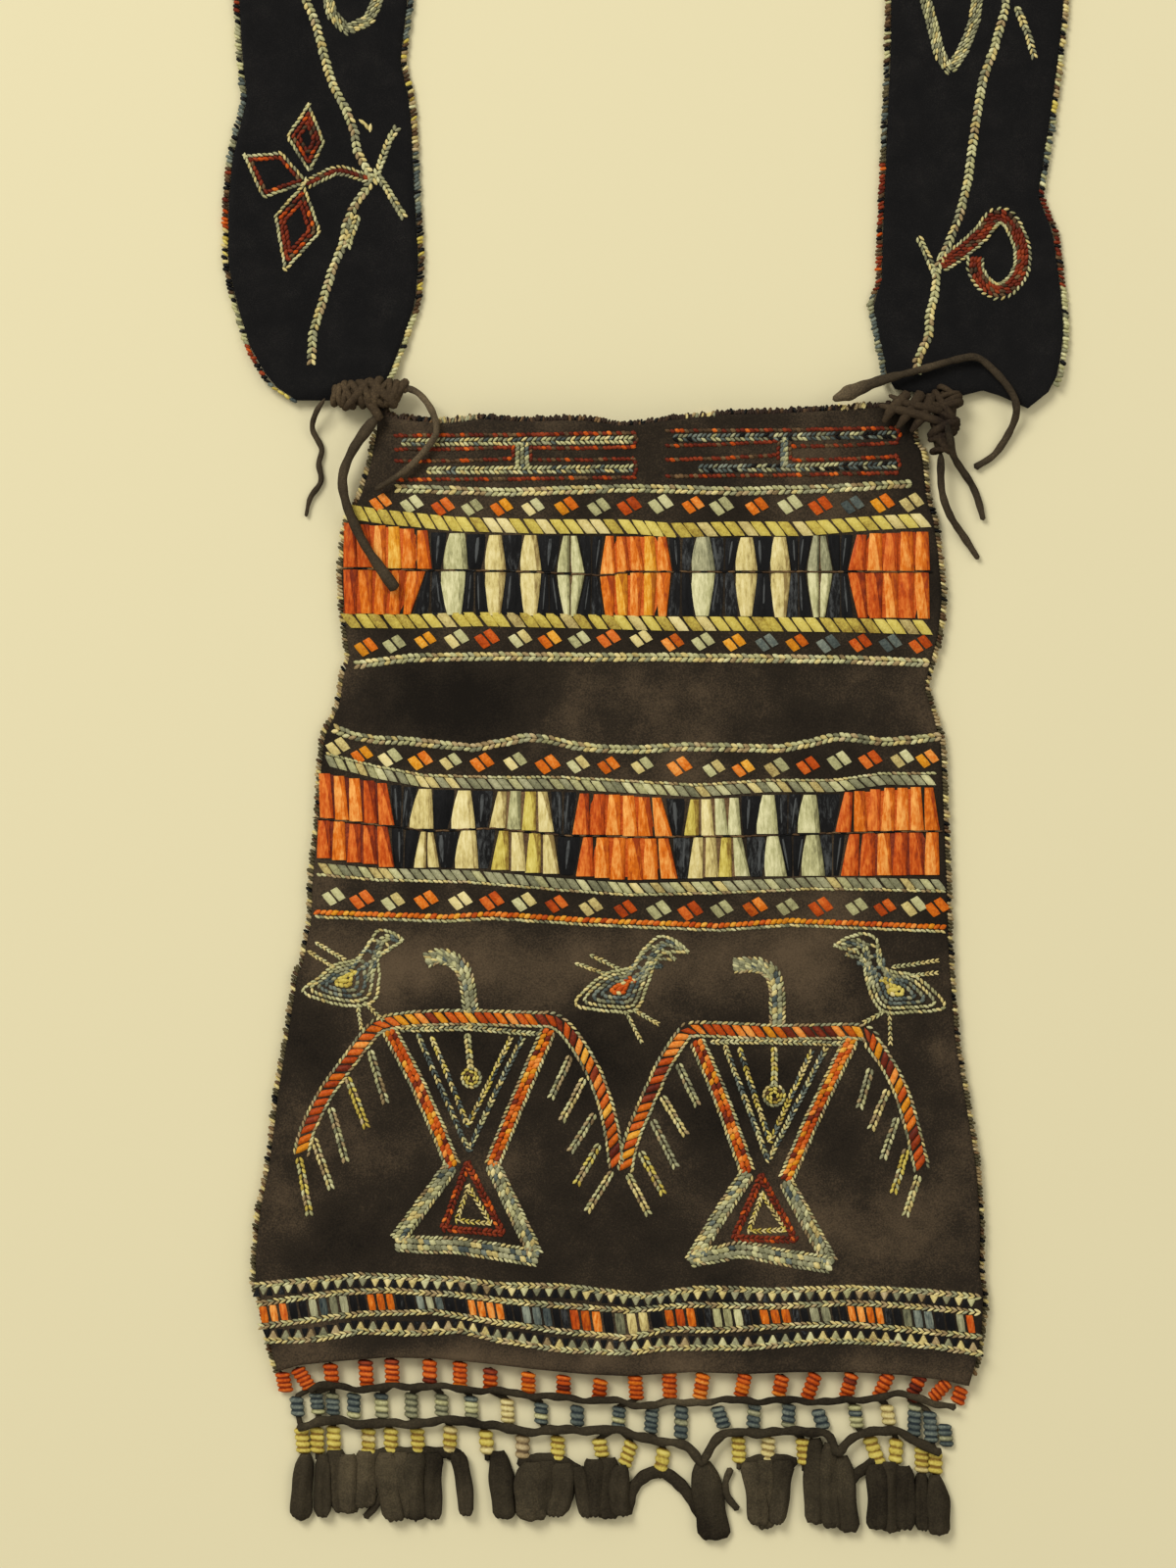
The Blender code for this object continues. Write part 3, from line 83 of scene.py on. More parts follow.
HEM_LIFT = 0.0015

# The panels' rows on the grid, and the hem's start, run and end as shares of their length
TOP_ROW = 428.0
PANEL_ROWS = 977.0
OPEN_HIDE_ROW = 745.0
BORDER_ROW = 1345.0
HEM_FROM = 0.70
HEM_RUN = 0.255
HEM_END = 0.955
SEAM_INSET = 6.0
MOUTH_INSET = 5.0
SOFT_WAVE = 0.00016
SLOW_WAVE = 0.00022
RIPPLE = 0.00030
HEM_WAVE = 0.00022

# Stitches and quills: how much their ends taper, how far their edges sink, and an outline's distance
STITCH_TAPER = 0.75
SUNK_EDGE = 0.00012
OUTLINE_GAP = 1.5
GRID_SPAN_PARTS = 12
THONG_SPAN_PARTS = 16
LOOP_PARTS = 20

# Folded quills: a figure's width on the grid decides how many it has
THIN_FIGURE = 4
PAIR_FIGURE = 27
WIDE_FIGURE = 40
QUILL_SPAN = 16.5
FOLD_EDGE = 0.5
TOOTH_PITCH = 12.8
BLOCK_QUILL = 10.5

# Whipped edges: the middle of the side seams, and the pale runs at the mouth
SEAM_MIDDLE = 0.00165
PALE_MOUTH_RUNS = ((446, 488), (700, 730), (856, 884))

# The fringe: heights in metres, and the rings of a wrap
FRINGE_START = 0.0017
CROSS_LIFT = 0.0024
WRAP_MIDDLE = 0.00118
WRAP_RISE = 0.00108
TURN_RINGS = 3
WRAP_SIDES = 10
TAIL_ROWS = 14
TAIL_COLUMNS = 9

# The floor and the light on it: a lamp's place, power and size
FLOOR_COLOUR = (221, 211, 170)
ROOM_LIGHT = 0.52
LAMPS = (((-1.2, 1.5, 2.0), 51.0, 1.2), ((1.6, 0.8, 2.3), 11.0, 1.6))


def rows(points):
    """The x and y columns of a list of places."""
    table = np.array(points, float)
    return table[:, 0], table[:, 1]


def spline(points, parts, closed=False):
    """A smooth curve through points, with so many places on each span of it."""
    p = np.array(points, float)
    if closed:
        p = np.vstack([p[-1:], p, p[:2]])
    else:
        p = np.vstack([2 * p[:1] - p[1:2], p, 2 * p[-1:] - p[-2:-1]])
    out = []
    for a, b, c, d in zip(p, p[1:], p[2:], p[3:]):
        for t in np.arange(parts) / parts:
            out.append(
                0.5 * (2 * b + (c - a) * t + (2 * a - 5 * b + 4 * c - d) * t * t + (3 * b - a - 3 * c + d) * t**3)
            )
    out.append(p[-2])
    return np.array(out)


def smooth_steps(points, step, closed=False):
    """Places about a step apart on a smooth curve through the given ones."""
    return even_steps(spline(points, GRID_SPAN_PARTS, closed), step)


def even_steps(line, step):
    """Places an even step apart along a line."""
    line = np.array(line, float)
    reach = np.concatenate([[0], np.cumsum(np.hypot(*np.diff(line[:, :2], axis=0).T))])
    count = max(2, int(round(reach[-1] / step)) + 1)
    want = np.linspace(0, reach[-1], count)
    return np.stack([np.interp(want, reach, line[:, k]) for k in range(line.shape[1])], axis=1)


def blend_step(t):
    """A smooth step from 0 to 1."""
    t = np.clip(t, 0.0, 1.0)
    return t * t * (3 - 2 * t)


def edge_x(y, side):
    """The outside of a side seam at a height on the grid."""
    xs, ys = rows(LEFT_EDGE if side < 0 else RIGHT_EDGE)
    return np.interp(y, ys, xs)


def across(x, y):
    """The share across the pouch, from -1 at the left seam to 1 at the right one."""
    left, right = edge_x(y, -1) + 9, edge_x(y, 1) - 9
    return np.clip(2 * (x - left) / (right - left) - 1, -1, 1)


def waves(x, y):
    """The small rise and fall of old hide, in metres, with lengths of waves in squares of the grid."""
    soft = np.sin(x / 41.0 + 1.3 * np.sin(y / 63.0)) * np.sin(y / 37.0 + 0.8)
    slow = np.sin(x / 97.0 - y / 130.0) + 0.6 * np.sin(y / 71.0 + x / 210.0)
    ripple = np.sin(x / 23.0 + 2.0 * np.sin(x / 57.0)) * np.exp(-(((y - OPEN_HIDE_ROW) / 34.0) ** 2))
    hem = np.sin(x / 60.0 + 0.7) * np.exp(-(((y - BORDER_ROW) / 60.0) ** 2))
    fade = 1 - np.abs(across(x, y)) ** 6
    return fade * (SOFT_WAVE * soft + SLOW_WAVE * slow + RIPPLE * ripple + HEM_WAVE * hem)


def face(x, y):
    """The height of the front panel's outside, in metres."""
    x, y = np.asarray(x, float), np.asarray(y, float)
    share = (y - TOP_ROW) / PANEL_ROWS
    hem = HEM_LIFT * blend_step((share - HEM_FROM) / HEM_RUN)
    share = np.clip(share / HEM_END, 0, 1)
    rise = GAPE * (1 - share) ** 2 + SWELL * blend_step(1.8 * np.minimum(share, 1 - share))
    return SEAM_GAP + HIDE + hem + rise * (1 - across(x, y) ** 2) + waves(x, y)


def place(x, y, z):
    """Places on the grid and heights in metres, as points of the frame."""
    x, y, z = np.broadcast_arrays(np.asarray(x, float), np.asarray(y, float), np.asarray(z, float))
    return np.stack([(x - GRID_ZERO[0]) * GRID, (GRID_ZERO[1] - y) * GRID, z], axis=-1)


def make(name, points, faces, paints, indices=None, tint=None):
    """A smooth mesh piece on the frame's root, with its paints and the tint of each of its points."""
    mesh = bpy.data.meshes.new(name)
    mesh.from_pydata(np.asarray(points).reshape(-1, 3).tolist(), [], faces)
    for paint in paints:
        mesh.materials.append(PAINTS[paint])
    if indices is not None:
        mesh.polygons.foreach_set("material_index", np.asarray(indices, np.int32))
    mesh.polygons.foreach_set("use_smooth", np.full(len(mesh.polygons), True))
    if tint is not None:
        mesh.attributes.new("tint", "FLOAT", "POINT").data.foreach_set("value", np.asarray(tint, np.float32))
    mesh.update()
    piece = bpy.data.objects.new(name, mesh)
    bpy.context.scene.collection.objects.link(piece)
    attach(piece, "root")
    return piece


def walls(rings, sides, closed=False):
    """The faces between rings of points that follow each other, and back to the first ring if closed."""
    faces = []
    for i in range(rings if closed else rings - 1):
        j = (i + 1) % rings
        for k in range(sides):
            m = (k + 1) % sides
            faces.append((i * sides + k, i * sides + m, j * sides + m, j * sides + k))
    return faces


def sheet_faces(long, wide):
    """The faces of a closed sheet: the points of its top in rows, then as many for its underside."""
    count = long * wide
    index = np.arange(count).reshape(long, wide)
    a, b, c, d = index[:-1, :-1].ravel(), index[:-1, 1:].ravel(), index[1:, 1:].ravel(), index[1:, :-1].ravel()
    faces = np.stack([d, c, b, a], 1).tolist() + (np.stack([a, b, c, d], 1) + count).tolist()
    ring = np.concatenate([index[0], index[1:, -1], index[-1, -2::-1], index[-2:0:-1, 0]])
    for i, j in zip(ring, np.roll(ring, -1)):
        faces.append((int(i), int(j), int(j) + count, int(i) + count))
    return faces


def outward(points, faces):
    """The faces, turned round if their closed surface faces inwards."""
    p = np.asarray(points)
    total = 0.0
    for f in faces:
        for k in range(1, len(f) - 1):
            total += np.dot(p[f[0]], np.cross(p[f[k]], p[f[k + 1]]))
    return faces if total > 0 else [tuple(reversed(f)) for f in faces]


class Heap:
    """Closed shapes gathered into one piece."""

    def __init__(self):
        self.points, self.faces = [], []

    def add(self, shape, cells_of):
        """One more closed shape, its faces turned outwards."""
        start = len(self.points)
        self.points.extend(np.asarray(shape).tolist())
        self.faces.extend([tuple(i + start for i in cell) for cell in outward(shape, cells_of)])


class Quills:
    """Flattened quills, each a crowned patch between four corners on the grid."""

    LONG, WIDE = 5, 5

    def __init__(self, ground=face):
        self.ground = ground
        self.corners, self.shape, self.paint, self.tint = [], [], [], []

    def patch(self, corners, paint, thick=0.45, lift=0.0, tilt=0.0, taper=0.0, tint=None):
        """Corners go round from the start's left; thick, lift and tilt are in millimetres."""
        self.corners.append(corners)
        self.shape.append((thick * MM, lift * MM, tilt * MM, taper))
        self.paint.append(paint)
        self.tint.append(rng.random() if tint is None else tint)

    def stitch(self, x, y, angle, long, wide, paint, thick=0.5, lift=0.0):
        """One oval stitch, by its middle and its direction in degrees."""
        a = math.radians(angle)
        dx, dy = math.cos(a) * long / 2, math.sin(a) * long / 2
        nx, ny = -math.sin(a) * wide / 2, math.cos(a) * wide / 2
        corners = ((x - dx + nx, y - dy + ny), (x - dx - nx, y - dy - ny), (x + dx - nx, y + dy - ny),
                   (x + dx + nx, y + dy + ny))
        self.patch(corners, paint, thick, lift, 0.0, STITCH_TAPER)

    def build(self, name, nodes):
        """The quills as one piece for its nodes."""
        paints = sorted(set(self.paint))
        c = np.array(self.corners, float)
        thick, lift, tilt, taper = np.array(self.shape).T
        s = np.linspace(0, 1, self.LONG)[None, :, None]
        t = np.linspace(0, 1, self.WIDE)[None, None, :]
        swell = 1 - taper[:, None, None] * np.abs(2 * s - 1) ** 2.5
        t = 0.5 + (t - 0.5) * swell
        s = np.broadcast_to(s, t.shape)
        a, b, d, e = (c[:, k, :][:, None, None, :] for k in range(4))
        s4, t4 = s[..., None], t[..., None]
        spot = (1 - s4) * ((1 - t4) * a + t4 * b) + s4 * ((1 - t4) * e + t4 * d)
        rise = np.clip(1 - np.abs(np.linspace(-1, 1, self.WIDE)) ** 2.2, 0, 1)[None, None, :]
        ends = np.clip(1 - np.abs(2 * s - 1) ** 6, 0, 1)
        high = thick[:, None, None] * np.sqrt(rise * (0.25 + 0.75 * ends)) + lift[:, None, None]
        high = high + tilt[:, None, None] * t - SUNK_EDGE * (rise < 0.01)
        z = self.ground(spot[..., 0], spot[..., 1]) + high
        points = place(spot[..., 0], spot[..., 1], z)
        cells = np.array([
            (i * self.WIDE + k, i * self.WIDE + k + 1, (i + 1) * self.WIDE + k + 1, (i + 1) * self.WIDE + k)
            for i in range(self.LONG - 1)
            for k in range(self.WIDE - 1)
        ])
        size = self.LONG * self.WIDE
        base = np.arange(len(c)) * size
        turned_over = np.cross(np.append(c[:, 1] - c[:, 0], np.zeros((len(c), 1)), 1),
                               np.append(c[:, 3] - c[:, 0], np.zeros((len(c), 1)), 1))[:, 2] < 0
        faces = base[:, None, None] + np.where(turned_over[:, None, None], cells[None], cells[None, :, ::-1])
        which = np.repeat([paints.index(p) for p in self.paint], len(cells))
        piece = make(name, points, faces.reshape(-1, 4).tolist(), paints, which, np.repeat(self.tint, size))
        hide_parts(*nodes)


def offset_line(line, shift):
    """The line moved to its right by a distance on the grid."""
    ahead = np.gradient(line, axis=0)
    ahead /= np.maximum(np.hypot(ahead[:, 0], ahead[:, 1]), 1e-9)[:, None]
    return line + shift * np.stack([-ahead[:, 1], ahead[:, 0]], axis=1), ahead


def pick(paints):
    """One paint from a name, or from several with weights in their order."""
    if isinstance(paints, str):
        return paints
    return paints[min(int(rng.random() ** 1.35 * len(paints)), len(paints) - 1)]


def twist(work, points, paints, shift=0.0, pitch=5.4, long=7.0, wide=3.4, slant=34.0, smooth=False, thick=0.5,
          lift=0.0):
    """A row of slanted stitches along a line."""
    line = smooth_steps(points, pitch) if smooth else even_steps(points, pitch)
    line, ahead = offset_line(line, shift)
    for (x, y), (ax, ay) in zip(line, ahead):
        angle = math.degrees(math.atan2(ay, ax)) + slant + rng.uniform(-7, 7)
        work.stitch(
            x + rng.uniform(-0.4, 0.4), y + rng.uniform(-0.35, 0.35), angle, long * rng.uniform(0.9, 1.12),
            wide * rng.uniform(0.9, 1.1), pick(paints), thick, lift,
        )


def twin_rows(work, points, paints, apart, slant, **kind):
    """Two rows of stitches on both sides of a line, leaning opposite ways."""
    for side in (-1, 1):
        twist(work, points, paints, shift=side * apart, slant=side * slant, **kind)


def band(work, points, paints, wide, count, outline=None, smooth=True, **kind):
    """Several rows of stitches side by side, with an outline on both sides if it has a paint."""
    step = wide / count
    for k in range(count):
        twist(work, points, paints, shift=(k - (count - 1) / 2) * step, wide=step * 1.12, smooth=smooth, **kind)
    if outline:
        twin_rows(work, points, outline, wide / 2 + OUTLINE_GAP, 30, pitch=4.8, long=5.8, wide=2.9, smooth=smooth,
                  lift=0.05)


def wrapped_row(work, points, paints, wide, pitch, lean, shift=0.0, gap=1.0, smooth=False, thick=0.6, taper=0.12):
    """A row of wide slanted quills side by side along a line, as rope looks."""
    line = smooth_steps(points, pitch) if smooth else even_steps(points, pitch)
    line, ahead = offset_line(line, shift)
    side = np.stack([-ahead[:, 1], ahead[:, 0]], axis=1) * wide / 2
    for p, q, m, n, a in zip(line, line[1:], side, side[1:], ahead):
        jog = rng.uniform(-0.08, 0.08) * pitch
        first, last = a * (gap / 2 + jog), a * (jog - gap / 2)
        slope = a * lean / 2
        corners = [p - m + first - slope, q - n + last - slope, q + n + last + slope, p + m + first + slope]
        work.patch([tuple(c) for c in corners], pick(paints), thick, 0.0, 0.0, taper)


def socket(tree, kind, name, default=None):
    """A socket on the outside of a node group."""
    new = tree.interface.new_socket(name=name, in_out=kind, socket_type="NodeSocketFloat")
    if default is not None:
        new.default_value = default
    return new


def wear_group():
    """Fine grain and slow patches, from places on the object: used by every finish."""
    tree = bpy.data.node_groups.new("grain_and_patches", "ShaderNodeTree")
    socket(tree, "INPUT", "Grain", 2500.0)
    socket(tree, "INPUT", "Patch", 60.0)
    socket(tree, "INPUT", "Stretch", 1.0)
    socket(tree, "OUTPUT", "Grain")
    socket(tree, "OUTPUT", "Patch")
    enter, leave = tree.nodes.new("NodeGroupInput"), tree.nodes.new("NodeGroupOutput")
    where = tree.nodes.new("ShaderNodeTexCoord")
    shape = tree.nodes.new("ShaderNodeCombineXYZ")
    shape.inputs["X"].default_value = shape.inputs["Z"].default_value = 1.0
    tree.links.new(enter.outputs["Stretch"], shape.inputs["Y"])
    drawn = tree.nodes.new("ShaderNodeVectorMath")
    drawn.operation = "MULTIPLY"
    tree.links.new(where.outputs["Object"], drawn.inputs[0])
    tree.links.new(shape.outputs["Vector"], drawn.inputs[1])
    for name, detail, rough in (("Grain", 4.0, 0.7), ("Patch", 5.0, 0.62)):
        noise = tree.nodes.new("ShaderNodeTexNoise")
        noise.inputs["Detail"].default_value = detail
        noise.inputs["Roughness"].default_value = rough
        tree.links.new((drawn if name == "Grain" else where).outputs[0 if name == "Grain" else "Object"],
                       noise.inputs["Vector"])
        tree.links.new(enter.outputs[name], noise.inputs["Scale"])
        tree.links.new(noise.outputs["Fac"], leave.inputs[name])
    return tree


def ramp(tree, source, stops):
    """A colour ramp through (place, colour) stops."""
    node = tree.nodes.new("ShaderNodeValToRGB")
    while len(node.color_ramp.elements) < len(stops):
        node.color_ramp.elements.new(0.5)
    for element, (where, colour) in zip(node.color_ramp.elements, stops):
        element.position = where
        element.color = (*colour, 1.0)
    tree.links.new(source, node.inputs["Fac"])
    return node.outputs["Color"]


def add_up(tree, parts, base=0.0):
    """A sum of values, each times its own weight, and a base."""
    total = None
    for source, weight in parts:
        node = tree.nodes.new("ShaderNodeMath")
        node.operation = "MULTIPLY_ADD"
        node.inputs[1].default_value = weight
        if total is None:
            node.inputs[2].default_value = base
        else:
            tree.links.new(total, node.inputs[2])
        tree.links.new(source, node.inputs[0])
        total = node.outputs[0]
    return total


def linear(colour):
    """A colour as seen on a screen, from 0 to 255, as linear light."""
    out = []
    for c in colour:
        c = c / 255
        out.append(c / 12.92 if c <= 0.04045 else ((c + 0.055) / 1.055) ** 2.4)
    return out


def finish(name, stops, roughness, grain=2500.0, patch=60.0, weights=(0.0, 0.5, 0.5), bump=0.3, depth=0.0002,
           sheen=0.0, specular=0.5, stretch=1.0):
    """A finish whose colour follows each quill's tint, slow patches and fine grain, by their weights."""
    paint = bpy.data.materials.new(name)
    paint.use_nodes = True
    tree = paint.node_tree
    shader = tree.nodes["Principled BSDF"]
    worn = tree.nodes.new("ShaderNodeGroup")
    worn.node_tree = WEAR
    worn.inputs["Grain"].default_value = grain
    worn.inputs["Patch"].default_value = patch
    worn.inputs["Stretch"].default_value = stretch
    tint = tree.nodes.new("ShaderNodeAttribute")
    tint.attribute_name = "tint"
    total = add_up(
        tree,
        ((tint.outputs["Fac"], weights[0]), (worn.outputs["Patch"], weights[1]), (worn.outputs["Grain"], weights[2])),
        base=0.5 - 0.5 * sum(weights),
    )
    tree.links.new(ramp(tree, total, [(w, linear(c)) for w, c in stops]), shader.inputs["Base Color"])
    rough = add_up(tree, ((worn.outputs["Grain"], 0.3),), roughness - 0.15)
    tree.links.new(rough, shader.inputs["Roughness"])
    relief = tree.nodes.new("ShaderNodeBump")
    relief.inputs["Strength"].default_value = bump
    relief.inputs["Distance"].default_value = depth
    tree.links.new(worn.outputs["Grain"], relief.inputs["Height"])
    tree.links.new(relief.outputs["Normal"], shader.inputs["Normal"])
    shader.inputs["Sheen Weight"].default_value = sheen
    shader.inputs["Sheen Roughness"].default_value = 0.6
    shader.inputs["Specular IOR Level"].default_value = specular
    return paint


WEAR = wear_group()
QUILL = {"roughness": 0.5, "grain": 1400.0, "patch": 150.0, "weights": (0.34, 0.75, 0.85), "bump": 0.35,
         "specular": 0.12}
# Long quills: the grain is stretched along them into pale streaks, partly the quills' own mottling and partly painted
# highlights.
LONG_QUILL = {"roughness": 0.42, "grain": 1150.0, "patch": 130.0, "weights": (0.5, 0.6, 1.4), "bump": 0.6,
              "specular": 0.12, "stretch": 0.24}
HIDE_LOOK = {"roughness": 0.95, "grain": 1900.0, "patch": 26.0, "weights": (0.0, 1.5, 0.6), "bump": 0.8,
             "specular": 0.08}
COLOURS = {
    "amber": ((0.12, (158, 84, 12)), (0.5, (214, 140, 22)), (0.9, (242, 196, 92))),
    "orange": ((0.12, (146, 54, 8)), (0.5, (210, 106, 14)), (0.9, (242, 172, 86))),
    "deep": ((0.12, (110, 34, 6)), (0.5, (186, 74, 10)), (0.9, (228, 130, 50))),
    "red": ((0.12, (52, 18, 11)), (0.5, (108, 38, 17)), (0.9, (168, 72, 32))),
    "pale": ((0.12, (112, 108, 72)), (0.5, (178, 174, 122)), (0.9, (222, 216, 166))),
    "cream": ((0.12, (132, 110, 62)), (0.5, (204, 186, 118)), (0.9, (234, 220, 162))),
    "tan": ((0.12, (88, 70, 46)), (0.5, (156, 134, 92)), (0.9, (206, 188, 142))),
    "yellow": ((0.12, (122, 92, 34)), (0.5, (194, 174, 76)), (0.9, (224, 208, 116))),
    "blue": ((0.12, (36, 44, 46)), (0.5, (84, 92, 84)), (0.9, (144, 150, 130))),
    "grey": ((0.12, (74, 74, 54)), (0.5, (134, 132, 98)), (0.9, (186, 182, 140))),
    "brown": ((0.12, (32, 23, 16)), (0.5, (78, 57, 36)), (0.9, (136, 106, 68))),
    # Black's pale top stop is the grey of the painted highlight streaks and gloss specks on the black quills.
    "black": ((0.12, (6, 6, 6)), (0.66, (17, 16, 15)), (1.0, (74, 76, 74))),
}
PAINTS = {name: finish("quill_" + name, stops, **QUILL) for name, stops in COLOURS.items()}
PAINTS |= {name + "_long": finish("long_quill_" + name, stops, **LONG_QUILL) for name, stops in COLOURS.items()}
PAINTS |= {
    "face_hide": finish("face_hide", ((0.25, (25, 21, 16)), (0.52, (44, 37, 28)), (0.84, (88, 73, 54))),
                        **{**HIDE_LOOK, "weights": (1.0, 1.1, 0.7)}),
    "thong": finish("thong_hide", ((0.22, (32, 27, 20)), (0.52, (68, 58, 43)), (0.84, (116, 100, 74))), **HIDE_LOOK),
    "knot": finish("knot_hide", ((0.22, (34, 26, 20)), (0.52, (68, 56, 40)), (0.84, (118, 98, 70))), **HIDE_LOOK),
    "tail": finish("tail_hide", ((0.22, (32, 27, 19)), (0.52, (59, 52, 38)), (0.84, (98, 86, 63))),
                   **{**HIDE_LOOK, "weights": (0.18, 1.4, 0.7)}),
    "cloth": finish("wool_cloth", ((0.2, (9, 9, 9)), (0.55, (20, 19, 18)), (0.9, (46, 43, 39))), 0.95,
                    grain=3600.0, patch=120.0, weights=(0.0, 0.5, 1.1), bump=0.9, sheen=0.03, specular=0.08),
    "fuzz": finish("worn_edge", ((0.2, (30, 22, 18)), (0.5, (52, 40, 32)), (0.85, (106, 88, 66))), 0.85,
                   specular=0.1),
    "olive": finish("worn_side", ((0.2, (36, 31, 20)), (0.5, (78, 70, 46)), (0.85, (134, 122, 84))), 0.8,
                    specular=0.15),
}
PALE_MIX = ("pale", "cream", "grey")
CREAM_MIX = ("cream", "pale", "grey", "yellow")
ORANGE_MIX = ("orange", "deep", "amber")


# Patches of painted glow and shade on the hide: middle, reach across and down, and how much lighter (a negative one is
# darker)
HIDE_GLOW_PATCHES = (
    (430, 715, 110, 42, -0.26), (660, 700, 170, 34, 0.08), (440, 985, 75, 45, 0.36), (565, 985, 90, 45, 0.22),
    (395, 1160, 90, 70, 0.12), (545, 1185, 60, 60, 0.16), (478, 1100, 55, 60, -0.14), (785, 1100, 60, 60, -0.16),
    (645, 1100, 60, 70, -0.10), (865, 1235, 80, 60, 0.07), (330, 1275, 60, 45, -0.16), (450, 1392, 220, 18, 0.26),
    (860, 1398, 120, 20, 0.18), (800, 985, 90, 30, 0.12),
)


def painted_hide_glow(x, y):
    """How light the hide's tint is at places on the grid, about a half: painted glow where higher, painted shade where
    lower.
    """
    total = np.full(np.shape(x), 0.5)
    for px, py, wide, high, much in HIDE_GLOW_PATCHES:
        total += much * np.exp(-((x - px) / wide) ** 2 - ((y - py) / high) ** 2)
    return total


def panel(name, node, heights, wide, long):
    """A hide panel as a closed fine sheet, from its top face's height."""
    top_x, top_y = rows(MOUTH)
    low_x, low_y = rows(BASE)
    u, v = np.meshgrid(np.linspace(0, 1, wide), np.linspace(0, 1, long))
    y = TOP_ROW + v * PANEL_ROWS
    for _ in range(3):
        x = (1 - u) * (edge_x(y, -1) + SEAM_INSET) + u * (edge_x(y, 1) - SEAM_INSET)
        y = (1 - v) * (np.interp(x, top_x, top_y) + MOUTH_INSET) + v * np.interp(x, low_x, low_y)
    z = heights(x, y)
    points = np.vstack([place(x, y, z).reshape(-1, 3), place(x, y, z - HIDE).reshape(-1, 3)])
    # Painted light: the panels' tint carries the hide's painted glow and shade patches.
    worn = np.tile(painted_hide_glow(x, y).ravel(), 2)
    piece = make(name, points, sheet_faces(long, wide), ["face_hide"], tint=worn)
    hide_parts(node)


def panels():
    """The front panel with its belly, and the back one flat on the floor."""
    panel("front_hide", "front_panel", face, 150, 240)
    panel("back_hide", "back_panel", lambda x, y: np.full_like(x, HIDE), 60, 90)


def straight_down_camera():
    """The camera over the middle of the view, set so that the pouch's face is at the grid's size."""
    reach = VIEW_HEIGHT * LENS / SENSOR
    data = bpy.data.cameras.new("camera")
    data.lens, data.sensor_width, data.sensor_height, data.sensor_fit = LENS, SENSOR, SENSOR, "VERTICAL"
    data.clip_start, data.clip_end = 0.05, 20.0
    camera = bpy.data.objects.new("camera", data)
    bpy.context.scene.collection.objects.link(camera)
    camera.location = place(*VIEW_MIDDLE, FACE_HEIGHT + reach).tolist()
    bpy.context.scene.camera = camera


def thong_route(points, step):
    """The smooth route through points in space, given in millimetres, in even steps, and its length."""
    dense = spline(np.array(points, float) * MM, THONG_SPAN_PARTS)
    reach = np.concatenate([[0], np.cumsum(np.linalg.norm(np.diff(dense, axis=0), axis=1))])
    count = max(3, int(round(reach[-1] / step)) + 1)
    want = np.linspace(0, reach[-1], count)
    return np.stack([np.interp(want, reach, dense[:, k]) for k in range(3)], axis=1), reach[-1]


def tube(line, radius, sides=12, flat=1.0, wobble=0.0, tip=(1.0, 1.0), snub=1.0):
    """Points and faces of a round-ended tube on a line, with a wobble, and tips and a start of their own sizes."""
    ahead = np.gradient(line, axis=0)
    ahead /= np.linalg.norm(ahead, axis=1)[:, None]
    side = np.cross(ahead, [0, 0, 1.0])
    side /= np.maximum(np.linalg.norm(side, axis=1), 1e-9)[:, None]
    up = np.cross(side, ahead)
    count = len(line)
    share = np.arange(count) / (count - 1)
    size = radius * (1 + wobble * np.sin(share * count * 0.9 + rng.random() * 6) * np.sin(share * count * 0.37))
    size = size * (tip[0] + (1 - tip[0]) * np.clip(share * 4, 0, 1))
    size = size * (tip[1] + (1 - tip[1]) * np.clip((1 - share) * 5, 0, 1))
    size = size * np.clip(snub + share * 14, 0, 1)
    turn = 2 * math.pi * np.arange(sides) / sides
    points = [
        c + s * (np.outer(np.cos(turn), a) + flat * np.outer(np.sin(turn), b))
        for c, s, a, b in zip(line, size, side, up)
    ]
    first, last = line[0] - ahead[0] * radius * 0.5, line[-1] + ahead[-1] * radius * 0.5
    points = np.vstack(points + [first[None], last[None]])
    faces = walls(count, sides)
    for k in range(sides):
        m = (k + 1) % sides
        faces.append((count * sides, m, k))
        faces.append((count * sides + 1, (count - 1) * sides + k, (count - 1) * sides + m))
    return points, faces


